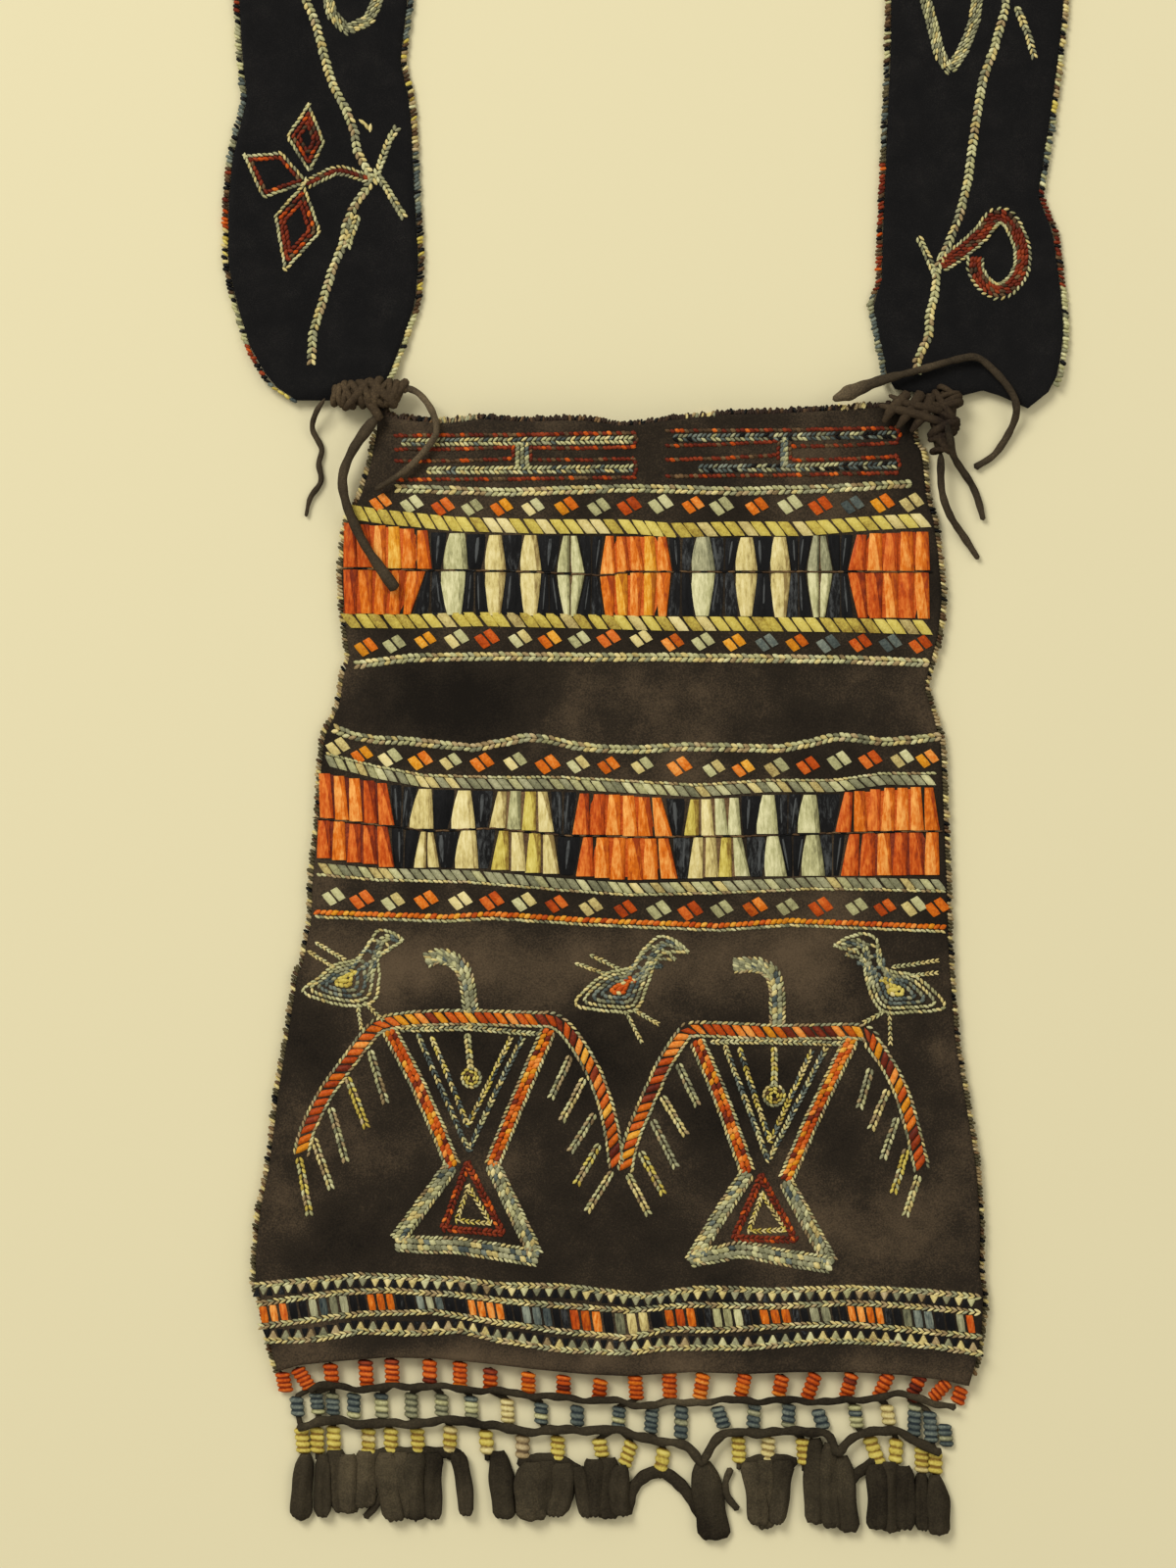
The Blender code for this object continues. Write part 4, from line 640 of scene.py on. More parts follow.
# Each loose thong: half its thickness, the share of it left at both ends, and its route; in millimetres
TIES = {
    "tie_left_thin": (0.85, (0.9, 0.6), (
        (-89.6, 146.6, 5.4), (-92.2, 142.6, 4.6), (-93.4, 138.0, 2.2), (-90.8, 132.4, 1.0), (-91.6, 127.8, 1.0),
        (-91.0, 122.6, 1.0), (-94.2, 117.6, 1.0), (-95.4, 112.4, 1.0),
    )),
    "tie_left_thick": (1.4, (1.3, 1.35), (
        (-73.8, 141.4, 6.8), (-76.3, 138.4, 6.7), (-81.2, 131.4, 6.4), (-84.2, 123.8, 5.6), (-83.4, 116.6, 6.4),
        (-80.6, 109.2, 6.8), (-76.4, 101.4, 7.5), (-68.6, 90.4, 8.8),
    )),
    "tie_left_loop": (1.0, (1.0, 0.75), (
        (-66.4, 150.2, 6.4), (-61.6, 148.0, 7.4), (-57.6, 142.6, 8.4), (-56.4, 136.4, 8.6), (-60.4, 130.4, 8.2),
        (-66.2, 124.8, 7.6), (-74.2, 119.8, 6.6),
    )),
    "tie_right_over": (1.1, (2.3, 0.9), (
        (61.0, 146.2, 9.0), (74.0, 151.6, 7.0), (86.6, 155.2, 5.6), (97.2, 158.2, 5.2), (103.2, 159.0, 5.2),
        (107.6, 156.0, 5.2), (112.8, 150.2, 5.3), (115.2, 145.0, 5.1), (114.6, 139.4, 2.6), (109.6, 131.0, 1.3),
        (103.6, 126.8, 1.3),
    )),
    "tie_right_short": (1.1, (1.0, 0.75), (
        (94.2, 139.0, 9.4), (94.9, 136.0, 9.3), (95.6, 133.2, 8.6), (96.2, 130.6, 6.6), (97.6, 128.2, 4.2),
        (99.9, 125.2, 2.2), (102.4, 121.6, 1.3), (104.2, 117.4, 1.3), (105.8, 111.4, 1.3),
    )),
    "tie_right_long": (1.1, (1.0, 0.75), (
        (92.8, 130.6, 5.8), (93.1, 119.8, 5.6), (95.6, 112.2, 5.2), (100.4, 105.6, 1.6), (104.2, 99.8, 1.3),
    )),
}


def ties():
    """The loose thongs by the two knots, each a round tube in place of the model's own."""
    for name, (radius, tips, points) in TIES.items():
        line, length = thong_route(points, radius * 0.9 * MM)
        shape, faces = tube(line, radius * MM, wobble=0.10, tip=tips, snub=0.35)
        piece = make(name + "_look", shape, outward(shape, faces), ["thong"])
        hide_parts(name)


def turned(points, angle):
    """Points turned round the upright axis."""
    c, s = math.cos(angle), math.sin(angle)
    return np.stack([points[:, 0] * c - points[:, 1] * s, points[:, 0] * s + points[:, 1] * c, points[:, 2]], 1)


def knot(name, middle, turn, size, loops, leads):
    """A tight knot: loops of thong at odd tilts round a core, and the leads out of it; sizes in millimetres."""
    heap = Heap()
    x, y, rise = middle
    centre = place(x, y, rise * MM)
    long, wide, high = size
    angle = np.arange(0, 2 * math.pi, 2 * math.pi / LOOP_PARTS)
    for k in range(loops):
        share = ((k + 0.5) / loops * 2 - 1) * 0.9 + rng.uniform(-0.08, 0.08)
        room = math.sqrt(max(1 - 0.62 * share * share, 0.2))
        lean = rng.uniform(-1.5, 1.5)
        across_it = wide * room * rng.uniform(0.86, 1.06)
        along = share * long + lean * across_it * np.cos(angle) * 0.8 + 0.3 * np.sin(angle * 2 + k)
        up = high * room * rng.uniform(0.8, 1.1) * np.sin(angle)
        ring = np.stack([along, across_it * np.cos(angle), up], 1) * MM
        heap.add(*ring_tube(turned(ring, turn) + centre, rng.uniform(0.8, 1.5) * MM, 8))
    for radius, line in leads:
        path = np.array([place(px, py, pz * MM) for px, py, pz in line])
        heap.add(*tube(path, radius * MM, 10, wobble=0.12, snub=0.5))
    core, core_faces = unit_bead(14, 8)
    core = turned(core * np.array((long * 0.92, wide * 0.86, high * 0.86)) * MM, turn)
    heap.add(core + centre, core_faces)
    piece = make(name + "_look", heap.points, heap.faces, ["knot"])
    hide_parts(name)


def ring_tube(loop, radius, sides):
    """A closed tube on a closed loop."""
    ahead = np.roll(loop, -1, 0) - np.roll(loop, 1, 0)
    ahead /= np.linalg.norm(ahead, axis=1)[:, None]
    out = loop - loop.mean(0)
    out -= (out * ahead).sum(1)[:, None] * ahead
    out /= np.maximum(np.linalg.norm(out, axis=1), 1e-9)[:, None]
    third = np.cross(ahead, out)
    turn = 2 * math.pi * np.arange(sides) / sides
    way = np.cos(turn)[None, :, None] * out[:, None] + np.sin(turn)[None, :, None] * third[:, None]
    return (loop[:, None] + radius * way).reshape(-1, 3), walls(len(loop), sides, closed=True)


# Lines of quillwork from the mouth down, on the grid
LINE_1 = ((406, 498), (520, 503), (640, 499), (680, 500), (752, 502), (841, 499), (928, 493))
LANE_2 = ((360, 522), (390, 527), (419, 530), (464, 535), (553, 538), (642, 538), (685, 542), (752, 540), (819, 540),
          (885, 534), (948, 530))
LANE_3 = ((351, 633), (419, 634), (486, 632), (575, 634), (680, 637), (752, 637), (863, 638), (950, 640))
LINE_4 = ((364, 678), (419, 671), (509, 670), (598, 671), (680, 671), (752, 672), (863, 673), (946, 676))
LINE_5 = ((342, 744), (360, 751), (385, 755), (415, 756), (450, 760), (485, 763), (512, 758), (535, 753), (556, 754),
          (585, 761), (615, 764), (650, 765), (699, 762), (750, 763), (795, 764), (828, 758), (850, 752), (872, 753),
          (900, 757), (930, 755), (958, 752))
LANE_6 = ((333, 774), (384, 787), (432, 796), (502, 798), (573, 798), (644, 802), (711, 806), (782, 801), (852, 801),
          (900, 794), (953, 794))
LANE_7 = ((325, 888), (384, 893), (479, 895), (573, 903), (644, 908), (734, 906), (829, 902), (900, 903), (963, 905))
LINE_8 = ((323, 933), (384, 935), (455, 937), (502, 934), (597, 940), (660, 943), (734, 946), (805, 941), (876, 944),
          (963, 948))

# The middle of each diamond, on the grid
DIAMONDS_1 = ((388, 512), (420, 514), (452, 517), (482, 518), (512, 518), (544, 518), (578, 517), (611, 518),
              (642, 517), (674, 515), (707, 516), (736, 517), (772, 517), (806, 515), (837, 516), (870, 515),
              (901, 513), (931, 512))
DIAMONDS_2 = ((373, 660), (402, 657), (434, 653), (466, 652), (497, 652), (531, 652), (561, 653), (591, 653),
              (621, 652), (654, 652), (686, 656), (717, 655), (749, 656), (782, 656), (813, 656), (845, 657),
              (878, 656), (909, 656), (940, 657))
DIAMONDS_3 = ((344, 762), (369, 770), (398, 773), (429, 776), (460, 777), (492, 778), (526, 777), (559, 780),
              (590, 780), (621, 781), (655, 781), (693, 782), (728, 784), (758, 784), (792, 783), (824, 781),
              (856, 776), (888, 775), (921, 774), (947, 774))
DIAMONDS_4 = ((340, 915), (369, 918), (401, 920), (435, 918), (470, 919), (502, 919), (535, 920), (568, 922),
              (603, 925), (638, 927), (672, 928), (704, 929), (736, 927), (770, 925), (803, 925), (837, 925),
              (874, 925), (903, 926), (933, 925), (957, 926))

# The folded bands: their three lines, and each figure's colour and its ends on the top and the low line
UPPER_FOLDS = (
    ((350, 531), (400, 536), (439, 541), (470, 544), (553, 546), (642, 547), (752, 548), (863, 545), (950, 540)),
    ((350, 579), (439, 582), (517, 583), (616, 588), (640, 584), (774, 584), (948, 583)),
    ((352, 627), (426, 628), (589, 630), (640, 630), (948, 632)),
)
UPPER_SHAPES_TOP = (
    ("orange", 349, 438, 349, 441), ("pale", 458, 474, 451, 477), ("cream", 499, 511, 494, 516),
    ("cream", 535, 547, 530, 552), ("pale", 574, 589, 567, 597), ("amber", 617, 681, 611, 686),
    ("grey", 710, 723, 704, 729), ("cream", 755, 767, 749, 772), ("cream", 789, 801, 785, 806),
    ("grey", 829, 843, 822, 850), ("orange", 872, 950, 865, 950),
)
UPPER_SHAPES_LOW = (
    ("orange", 349, 434, 349, 421), ("pale", 448, 475, 456, 470), ("cream", 494, 516, 499, 510),
    ("cream", 530, 552, 535, 547), ("pale", 567, 597, 575, 588), ("amber", 611, 686, 616, 680),
    ("pale", 704, 729, 709, 722), ("cream", 749, 772, 755, 766), ("cream", 785, 806, 790, 801),
    ("pale", 822, 850, 829, 842), ("orange", 865, 950, 873, 950),
)
LOWER_FOLDS = (
    ((325, 787), (380, 796), (432, 804), (502, 806), (573, 807), (644, 811), (711, 815), (782, 810), (852, 809),
     (900, 803), (958, 802)),
    ((323, 835), (396, 843), (441, 848), (502, 845), (573, 852), (650, 854), (758, 853), (852, 850), (958, 848)),
    ((325, 876), (398, 886), (491, 887), (585, 894), (644, 899), (758, 895), (852, 895), (958, 894)),
)
LOWER_SHAPES_TOP = (
    ("deep", 324, 397, 324, 402), ("cream", 427, 440, 416, 442), ("cream", 467, 480, 459, 485),
    ("cream", 506, 561, 499, 565), ("orange", 590, 677, 583, 685), ("cream", 702, 754, 697, 757),
    ("pale", 777, 789, 770, 793), ("pale", 819, 832, 812, 836), ("orange", 859, 955, 852, 960),
)
LOWER_SHAPES_LOW = (
    ("deep", 322, 398, 322, 402), ("cream", 429, 443, 421, 449), ("cream", 470, 485, 463, 488),
    ("cream", 508, 567, 500, 571), ("orange", 594, 685, 586, 690), ("cream", 705, 759, 701, 764),
    ("pale", 782, 793, 779, 802), ("pale", 822, 835, 816, 841), ("deep", 864, 960, 857, 960),
)


def at(line, x):
    """The height of a line of places at x."""
    xs, ys = rows(line)
    return float(np.interp(x, xs, ys))


def plait(work, points, paints, wide, pitch):
    """A line of two rows of slanted stitches."""
    twin_rows(work, points, paints, wide / 4, -24, pitch=pitch, long=pitch * 1.25, wide=wide * 0.52)


def plaited_lane(name, points, node, wide):
    """A line of two rows of slanted stitches as a piece of its own."""
    work = Quills()
    plait(work, points, ("pale", "cream", "grey", "tan"), wide, 6.2)
    work.build(name, (node,))


def wrapped_lane(name, points, node):
    """A thick lane of yellow quill wrapped like rope."""
    work = Quills()
    paints = ("yellow",) * 9 + ("cream", "cream")
    wrapped_row(work, points, paints, 14.4, 13.8, 11.0, gap=0.7, thick=0.8, taper=0.08)
    work.build(name, (node,))


def double_lane(name, points, node, thin_side):
    """A thick slanted row of grey-green quill with a thin white one along it."""
    work = Quills()
    paints = ("grey", "grey", "pale", "grey", "pale", "cream")
    wrapped_row(work, points, paints, 10.2, 10.6, 8.5, shift=-2.0 * thin_side, gap=0.5, thick=0.7, taper=0.08)
    twist(work, points, ("pale", "cream", "pale", "tan"), shift=4.8 * thin_side, pitch=5.0, long=5.8, wide=3.2,
          slant=20)
    work.build(name, (node,))


def quills_of(a, b, c, d):
    """A figure between two lines, cut into upright quills: their two ends on the top line and on the low one."""
    wide = max(b - a, d - c)
    count = max(1, round(wide / QUILL_SPAN)) if wide > WIDE_FIGURE else (2 if wide > PAIR_FIGURE else 1)
    ends = [(a, c)]
    for k in range(1, count):
        high, low = a + (b - a) * k / count, c + (d - c) * k / count
        ends.append((0.35 * high + 0.65 * (high + low) / 2, 0.35 * low + 0.65 * (high + low) / 2))
    ends.append((b, d))
    for (x1, x3), (x2, x4) in zip(ends, ends[1:]):
        yield x1, x2, x3, x4, count


def spans_of(shapes, left, right):
    """The coloured figures of a band with the black ones between them, from the left."""
    spans, before = [], (left, left)
    for colour, a, b, c, d in shapes:
        spans += [("black", before[0], a, before[1], c), (colour, a, b, c, d)]
        before = (b, d)
    spans.append(("black", before[0], right, before[1], right))
    return [span for span in spans if max(span[2] - span[1], span[4] - span[3]) >= THIN_FIGURE]


def folded_paint(colour, big, first):
    """The paint of one folded quill: its figure's own, a little mixed where the figure is wide."""
    paint = colour
    if big and first:
        paint = {"amber": "orange", "orange": "deep"}.get(colour, colour)
    elif big and rng.random() < 0.35:
        paint = {"orange": pick(("deep", "amber")), "deep": "orange", "amber": "orange"}.get(colour, colour)
    if big and colour == "cream":
        paint = pick(("cream", "yellow", "pale", "cream"))
    return paint


def folded_band(name, lines, shapes, node, stitched):
    """One course of quills folded side to side: coloured figures with black between them."""
    work = Quills()
    top, low = lines
    for colour, a, b, c, d in spans_of(shapes, top[0][0], top[-1][0]):
        high, deep = b - a, d - c
        big, black = max(high, deep) > WIDE_FIGURE, colour == "black"
        if not black:
            # Painted shade: a thin sheet in a darker copy of the figure's colour, brown under the pale figures, shows
            # in the gaps between the folded quills as the shade of the folds.
            under = {"orange": "deep", "deep": "red", "amber": "deep"}.get(colour, "brown")
            work.patch(((a + 1, at(top, a) + 1.5), (b - 1, at(top, b) + 1.5), (d - 1, at(low, d) - 1.5),
                        (c + 1, at(low, c) - 1.5)), under, thick=0.10, taper=0.0 if big else 0.1)
        bow = 0.10 if black else 0.03 if big else 0.16
        for x1, x2, x3, x4, count in quills_of(a, b, c, d):
            top_gap, low_gap = (0.3, 1.6) if high >= deep else (1.6, 0.3)
            if black or not big:
                top_gap = low_gap = 0.3
            lean = rng.uniform(-1.6, 1.0) if big else 0.0
            y1 = at(top, (x1 + x2) / 2) + rng.uniform(0.2, 1.2) + FOLD_EDGE
            y2 = at(low, (x3 + x4) / 2) - rng.uniform(0.2, 1.2) - FOLD_EDGE
            paint = folded_paint(colour, big, (x1, x3) == (a, c)) + "_long"
            spread = 1.2 if not big and count == 1 and not black else 0.0
            a1, a2 = x1 + top_gap + lean - spread, x2 - top_gap + lean + spread
            b1, b2 = x3 + low_gap - lean - spread, x4 - low_gap - lean + spread
            tint = rng.uniform(0.45, 0.95)
            work.patch(
                ((a1, y1), (a2, y1), (b2, y2), (b1, y2)), paint, thick=0.38 if black else 0.5,
                tilt=rng.uniform(-0.15, 0.15), lift=0.08, taper=bow, tint=None if black else tint,
            )
            if black:
                # Painted highlight: a pale gloss streak on some of the black quills.
                if rng.random() < 0.6:
                    painted_highlight_streak(work, rng.uniform(0.1, 0.6), (a1, a2, b1, b2), y1 - FOLD_EDGE, y2 + FOLD_EDGE)
                continue
            # Painted shade: a facet in a darker tint of the quill's own paint lies over one side of it, so the fold's
            # crease looks shaded.
            u, v = (rng.uniform(0.28, 0.5), rng.uniform(0.82, 0.94)) if big else (rng.uniform(0.55, 0.7), 0.8)
            work.patch(((a1 + u * (a2 - a1), y1), (a2, y1), (b2, y2), (b1 + v * (b2 - b1), y2)), paint, thick=0.3,
                       lift=0.42, tilt=-0.1, taper=bow, tint=tint - rng.uniform(0.4, 0.8))
    if stitched:
        twist(work, top, ("brown", "black"), pitch=7.0, long=8.6, wide=2.1, slant=2, thick=0.3, lift=0.32)
    work.build(name, (node,))


def painted_highlight_streak(work, u, sides, y1, y2):
    """A painted highlight: a pale glossy streak down a black quill."""
    a1, a2, b1, b2 = sides
    work.patch(((a1 + u * (a2 - a1), y1 + 5), (a1 + (u + 0.3) * (a2 - a1), y1 + 3),
                (b1 + (u + 0.2) * (b2 - b1), y2 - 8), (b1 + u * (b2 - b1), y2 - 5)),
               "black_long", thick=0.25, lift=0.3, taper=0.6, tint=1.5)


def bands():
    """The lanes and folded bands across the upper half of the pouch."""
    plaited_lane("line_below_the_bars", LINE_1, "lane_mouth", 8.6)
    plaited_lane("line_over_the_open_hide", LINE_4, "lane_upper_end", 9.0)
    plaited_lane("line_under_the_open_hide", LINE_5, "lane_lower_start", 9.0)
    wrapped_lane("wrapped_lane_upper", LANE_2, "lane_yellow_upper")
    wrapped_lane("wrapped_lane_lower", LANE_3, "lane_yellow_lower")
    double_lane("double_lane_upper", LANE_6, "lane_braid_upper", -1)
    double_lane("double_lane_lower", LANE_7, "lane_braid_lower", 1)
    folded_band("upper_folds_top", UPPER_FOLDS[:2], UPPER_SHAPES_TOP, "folds_upper_top", False)
    folded_band("upper_folds_low", UPPER_FOLDS[1:], UPPER_SHAPES_LOW, "folds_upper_base", True)
    folded_band("lower_folds_top", LOWER_FOLDS[:2], LOWER_SHAPES_TOP, "folds_lower_top", False)
    folded_band("lower_folds_low", LOWER_FOLDS[1:], LOWER_SHAPES_LOW, "folds_lower_base", True)
    work = Quills()
    twist(work, LINE_8, ORANGE_MIX, shift=-1.8, pitch=6.0, long=7.6, wide=5.4, slant=-28)
    twist(work, LINE_8, PALE_MIX, shift=3.0, pitch=5.0, long=6.0, wide=3.2, slant=22)
    work.build("red_and_white_line", ("lane_red_white",))


def diamonds():
    """The four rows of diamonds, orange and pale by turns, with a few blue ones."""
    work = Quills()
    for centres, first, blue in ((DIAMONDS_1, 0, (15,)), (DIAMONDS_2, 0, (13, 15, 17)), (DIAMONDS_3, 1, ()),
                                 (DIAMONDS_4, 1, ())):
        for k, (x, y) in enumerate(centres):
            paint = ("orange", "pale")[(k + first) % 2]
            if paint == "orange" and rng.random() < 0.3:
                paint = "deep"
            diamond(work, x, y, "blue" if k in blue else paint)
    work.build("diamonds", ("front_panel",))


def diamond(work, x, y, paint):
    """A rhomb of two short slanted quills side by side."""
    grow = rng.uniform(0.92, 1.06)
    long = np.array((9.5, 11.0)) * grow * rng.uniform(0.94, 1.06)
    short = np.array((9.3, -5.0)) * grow
    start = np.array((x, y)) - short - long / 2
    for k in (0, 1):
        near = start + short * k + short * 0.05
        reach = short * 0.90
        colour = paint if rng.random() > 0.4 else {"orange": "amber", "pale": "cream"}.get(paint, paint)
        work.patch([tuple(near), tuple(near + reach), tuple(near + reach + long), tuple(near + long)], colour,
                   thick=0.6, taper=0.06)


def key_bars(name, node, left, right, post, lines, slope, white):
    """Two long bars joined by a post: an outline of red beads round rows of pale stitches."""
    work = Quills()
    red = ("red", "red", "brown", "red", "deep", "brown")
    (high_top, high_middle, high_low), (low_top, low_middle, low_low) = lines

    def row(y, x1, x2):
        return ((x1, y), ((x1 + x2) / 2, y + slope / 2 + 1.0), (x2, y + slope))

    for y, x1, x2 in ((high_top, left, right), (high_low, left, post[0] - 4), (high_low, post[1] + 4, right),
                      (low_low, left, right), (low_top, left, post[0] - 4), (low_top, post[1] + 4, right)):
        twist(work, row(y, x1, x2), red, pitch=4.8, long=6.0, wide=4.4, slant=24)
    for y, inset in ((high_middle, 8), (low_middle, 34)):
        for side in (-1, 1):
            twist(work, row(y + side * 2.1, left + inset, right - 2), white, pitch=4.9, long=6.4, wide=3.4,
                  slant=side * 34)
    for x in (post[0] + 4, (post[0] + post[1]) / 2, post[1] - 4):
        ends = ((x, high_middle + 4 + slope / 2), (x, low_middle - 3 + slope / 2))
        twist(work, ends, white, pitch=4.6, long=6.0, wide=4.4, slant=35)
    for x in post:
        twist(work, ((x, high_low + slope / 2), (x, low_top + slope / 2)), red, pitch=4.4, long=5.2, wide=4.0, slant=28)
    for y1, y2 in ((high_top, high_low), (low_top, low_low)):
        y = (y1 + y2) / 2 + slope
        twist(work, ((right, y1 + slope), (right + 4, y), (right, y2 + slope)), red, pitch=4.4, long=5.4, wide=4.4,
              slant=20)
    work.build(name, (node,))


def both_key_bars():
    """The key-shaped bars under the mouth, the right ones darker."""
    key_bars("key_bars_left", "bars_left", 404, 646, (524, 542), ((444, 451, 458), (470, 480, 489)), -1,
             ("pale", "grey", "cream", "blue", "pale"))
    key_bars("key_bars_right", "bars_right", 681, 915, (794, 806), ((441, 448, 456), (470, 479, 487)), -5,
             ("blue", "grey", "pale", "black", "blue"))


LEFT_BIRD = {
    "wings": ((307, 1177), (314, 1152), (332, 1116), (352, 1088), (373, 1060), (388, 1046), (419, 1040), (470, 1038),
              (546, 1040), (564, 1041), (579, 1052), (597, 1078), (612, 1109), (623, 1147), (629, 1189)),
    "neck": ((481, 1031), (479, 1018), (477, 1004), (473, 990), (462, 979), (447, 976), (437, 979)),
    "body": (((398, 1053), (430, 1115), (461, 1188)), ((559, 1053), (530, 1120), (503, 1187))),
    "skirt": (((459, 1192), (433, 1228), (406, 1264)), ((503, 1190), (524, 1234), (546, 1280)),
              ((406, 1269), (440, 1271), (470, 1272), (546, 1284))),
    "red": ((477, 1188), (452, 1254), (513, 1259)),
    "yellow": ((478, 1211), (466, 1246), (501, 1249)),
    "outer_v": ((427, 1057), (452, 1115), (478, 1175), (505, 1116), (533, 1060)),
    "inner_v": ((441, 1060), (460, 1105), (477, 1149), (499, 1105), (521, 1060)),
    "breast": ((411, 1051), (480, 1049), (549, 1055)),
    "pendant": ((477, 1057), (480, 1088)),
    "disc": (481, 1100, 11),
    "feathers": (
        ((378, 1075), (393, 1124), "grey"), ((355, 1103), (373, 1149), "yellow"), ((338, 1134), (352, 1184), "grey"),
        ((320, 1165), (337, 1212), "cream"), ((305, 1185), (315, 1239), "yellow"), ((581, 1080), (563, 1119), "grey"),
        ((595, 1103), (574, 1142), "cream"), ((605, 1139), (583, 1174), "grey"), ((610, 1170), (589, 1207), "yellow"),
        ((623, 1198), (600, 1235), "cream"),
    ),
}
RIGHT_BIRD = {
    "wings": ((638, 1193), (645, 1162), (663, 1118), (680, 1082), (698, 1055), (712, 1050), (795, 1053), (877, 1053),
              (891, 1065), (912, 1097), (927, 1135), (941, 1192)),
    "neck": ((793, 1043), (793, 1024), (792, 1006), (786, 991), (770, 984), (751, 985)),
    "body": (((712, 1064), (738, 1126), (762, 1194)), ((868, 1062), (834, 1132), (803, 1202))),
    "skirt": (((762, 1199), (734, 1242), (707, 1286)), ((803, 1208), (825, 1248), (847, 1288)),
              ((707, 1285), (735, 1280), (759, 1276), (800, 1284), (846, 1291))),
    "red": ((777, 1201), (749, 1264), (812, 1266)),
    "yellow": ((778, 1219), (764, 1257), (802, 1256)),
    "outer_v": ((740, 1068), (762, 1126), (784, 1185), (813, 1128), (842, 1071)),
    "inner_v": ((755, 1071), (770, 1118), (786, 1165), (807, 1119), (828, 1074)),
    "breast": ((727, 1063), (790, 1063), (856, 1065)),
    "pendant": ((790, 1071), (790, 1105)),
    "disc": (790, 1118, 12),
    "feathers": (
        ((693, 1088), (711, 1126), "grey"), ((677, 1121), (699, 1157), "cream"), ((667, 1146), (689, 1190), "grey"),
        ((655, 1178), (676, 1217), "yellow"), ((642, 1201), (661, 1238), "cream"), ((888, 1094), (878, 1129), "grey"),
        ((905, 1115), (890, 1151), "cream"), ((915, 1144), (902, 1181), "grey"), ((925, 1176), (913, 1216), "yellow"),
        ((937, 1203), (925, 1239), "cream"),
    ),
}
# Each small bird's name, the paint of its core, its middle, outline, neck and limbs
SMALL_BIRDS = (
    ("small_bird_left", "yellow", (350, 1001),
     ((410, 959), (388, 949), (378, 961), (365, 978), (342, 985), (324, 999), (309, 1013), (350, 1026), (380, 1022),
      (387, 999), (387, 976)),
     ((377, 1000), (381, 984), (386, 968), (393, 957), (405, 958)),
     (((365, 1026), (368, 1049)), ((373, 1024), (390, 1041)), ((323, 963), (350, 979)), ((315, 972), (338, 986)))),
    ("small_bird_middle", "deep", (633, 1008),
     ((701, 970), (676, 955), (657, 968), (645, 986), (619, 993), (598, 1009), (588, 1025), (619, 1031), (648, 1030),
      (660, 1006), (673, 974)),
     ((652, 1000), (662, 984), (670, 968), (680, 962), (695, 967)),
     (((639, 1033), (654, 1062)), ((648, 1031), (671, 1044)), ((604, 975), (629, 987)), ((589, 983), (619, 994)))),
    ("small_bird_right", "yellow", (912, 1010),
     ((853, 965), (878, 974), (886, 1006), (900, 1031), (930, 1033), (965, 1027), (935, 997), (912, 992), (897, 983),
      (894, 959), (877, 953)),
     ((890, 1004), (887, 988), (884, 970), (875, 961), (861, 965)),
     (((900, 1034), (883, 1043)), ((908, 1034), (909, 1065)), ((912, 987), (957, 981)), ((932, 996), (956, 993)))),
)


def closed_line(points):
    """The same line, brought back to its first place."""
    return list(points) + [points[0]]


def spread_bird(name, bird):
    """A bird with its wings spread, an hourglass body and a round pendant on its breast."""
    work = Quills()
    orange, white = ("orange", "deep", "deep", "red", "amber"), ("pale", "cream", "tan", "grey")
    grey = ("grey", "pale", "grey", "cream", "blue")
    kind = {"pitch": 6.0, "long": 7.8, "slant": 32.0}
    fine = {"pitch": 5.0, "long": 5.8}
    wrapped_row(work, bird["wings"], orange, 10.8, 10.2, 8.5, smooth=True, thick=0.7)
    twin_rows(work, bird["wings"], white, 7.0, 22, pitch=5.6, long=6.4, wide=3.2, smooth=True)
    for side in bird["body"]:
        band(work, side, orange, 10.5, 2, white, **kind)
    band(work, bird["neck"], grey, 10.4, 2, white, **kind)
    band(work, bird["neck"][-3:], ("grey", "pale", "pale"), 13.5, 3, **kind)
    for side, wide in zip(bird["skirt"], (10.0, 10.0, 12.0)):
        band(work, side, grey, wide, 2, white, **kind)
    twin_rows(work, bird["outer_v"], ("blue", "pale", "cream"), 1.3, 26, wide=2.8, **fine)
    twin_rows(work, bird["inner_v"], ("cream", "yellow", "blue"), 1.3, 26, wide=2.8, **fine)
    for side in (-1, 1):
        twist(work, bird["breast"], PALE_MIX, shift=side * 1.3, wide=2.8, slant=side * 26, **fine)
        twist(work, bird["pendant"], CREAM_MIX, shift=side * 1.8, wide=3.6, slant=side * 26, **fine)
    x, y, r = bird["disc"]
    for size, paints in ((r - 1.5, CREAM_MIX), (r - 4.8, ("yellow", "brown", "yellow")),
                         (r - 8.2, ("yellow", "brown"))):
        count = max(4, int(size * 6.28 / 4.6))
        for k in range(count):
            a = 2 * math.pi * k / count
            work.stitch(x + size * math.cos(a), y + size * math.sin(a), math.degrees(a) + 112, 5.4, 3.4, pick(paints))
    for start, end, colour in bird["feathers"]:
        twin_rows(work, (start, end), (colour, "pale", "tan"), 2.2, 20, pitch=5.4, long=6.4, wide=3.7)
    work.build(name + "_quills", (name,))
    for key, paints, wide in (("red", ("red", "red", "deep", "red"), 7.6), ("yellow", ("cream", "yellow"), 4.4)):
        work = Quills()
        twin_rows(work, closed_line(bird[key]), paints, wide / 4, 28, pitch=5.2, long=6.2, wide=wide * 0.52)
        work.build(f"{name}_{key}_quills", (f"{name}_{key}_triangle",))


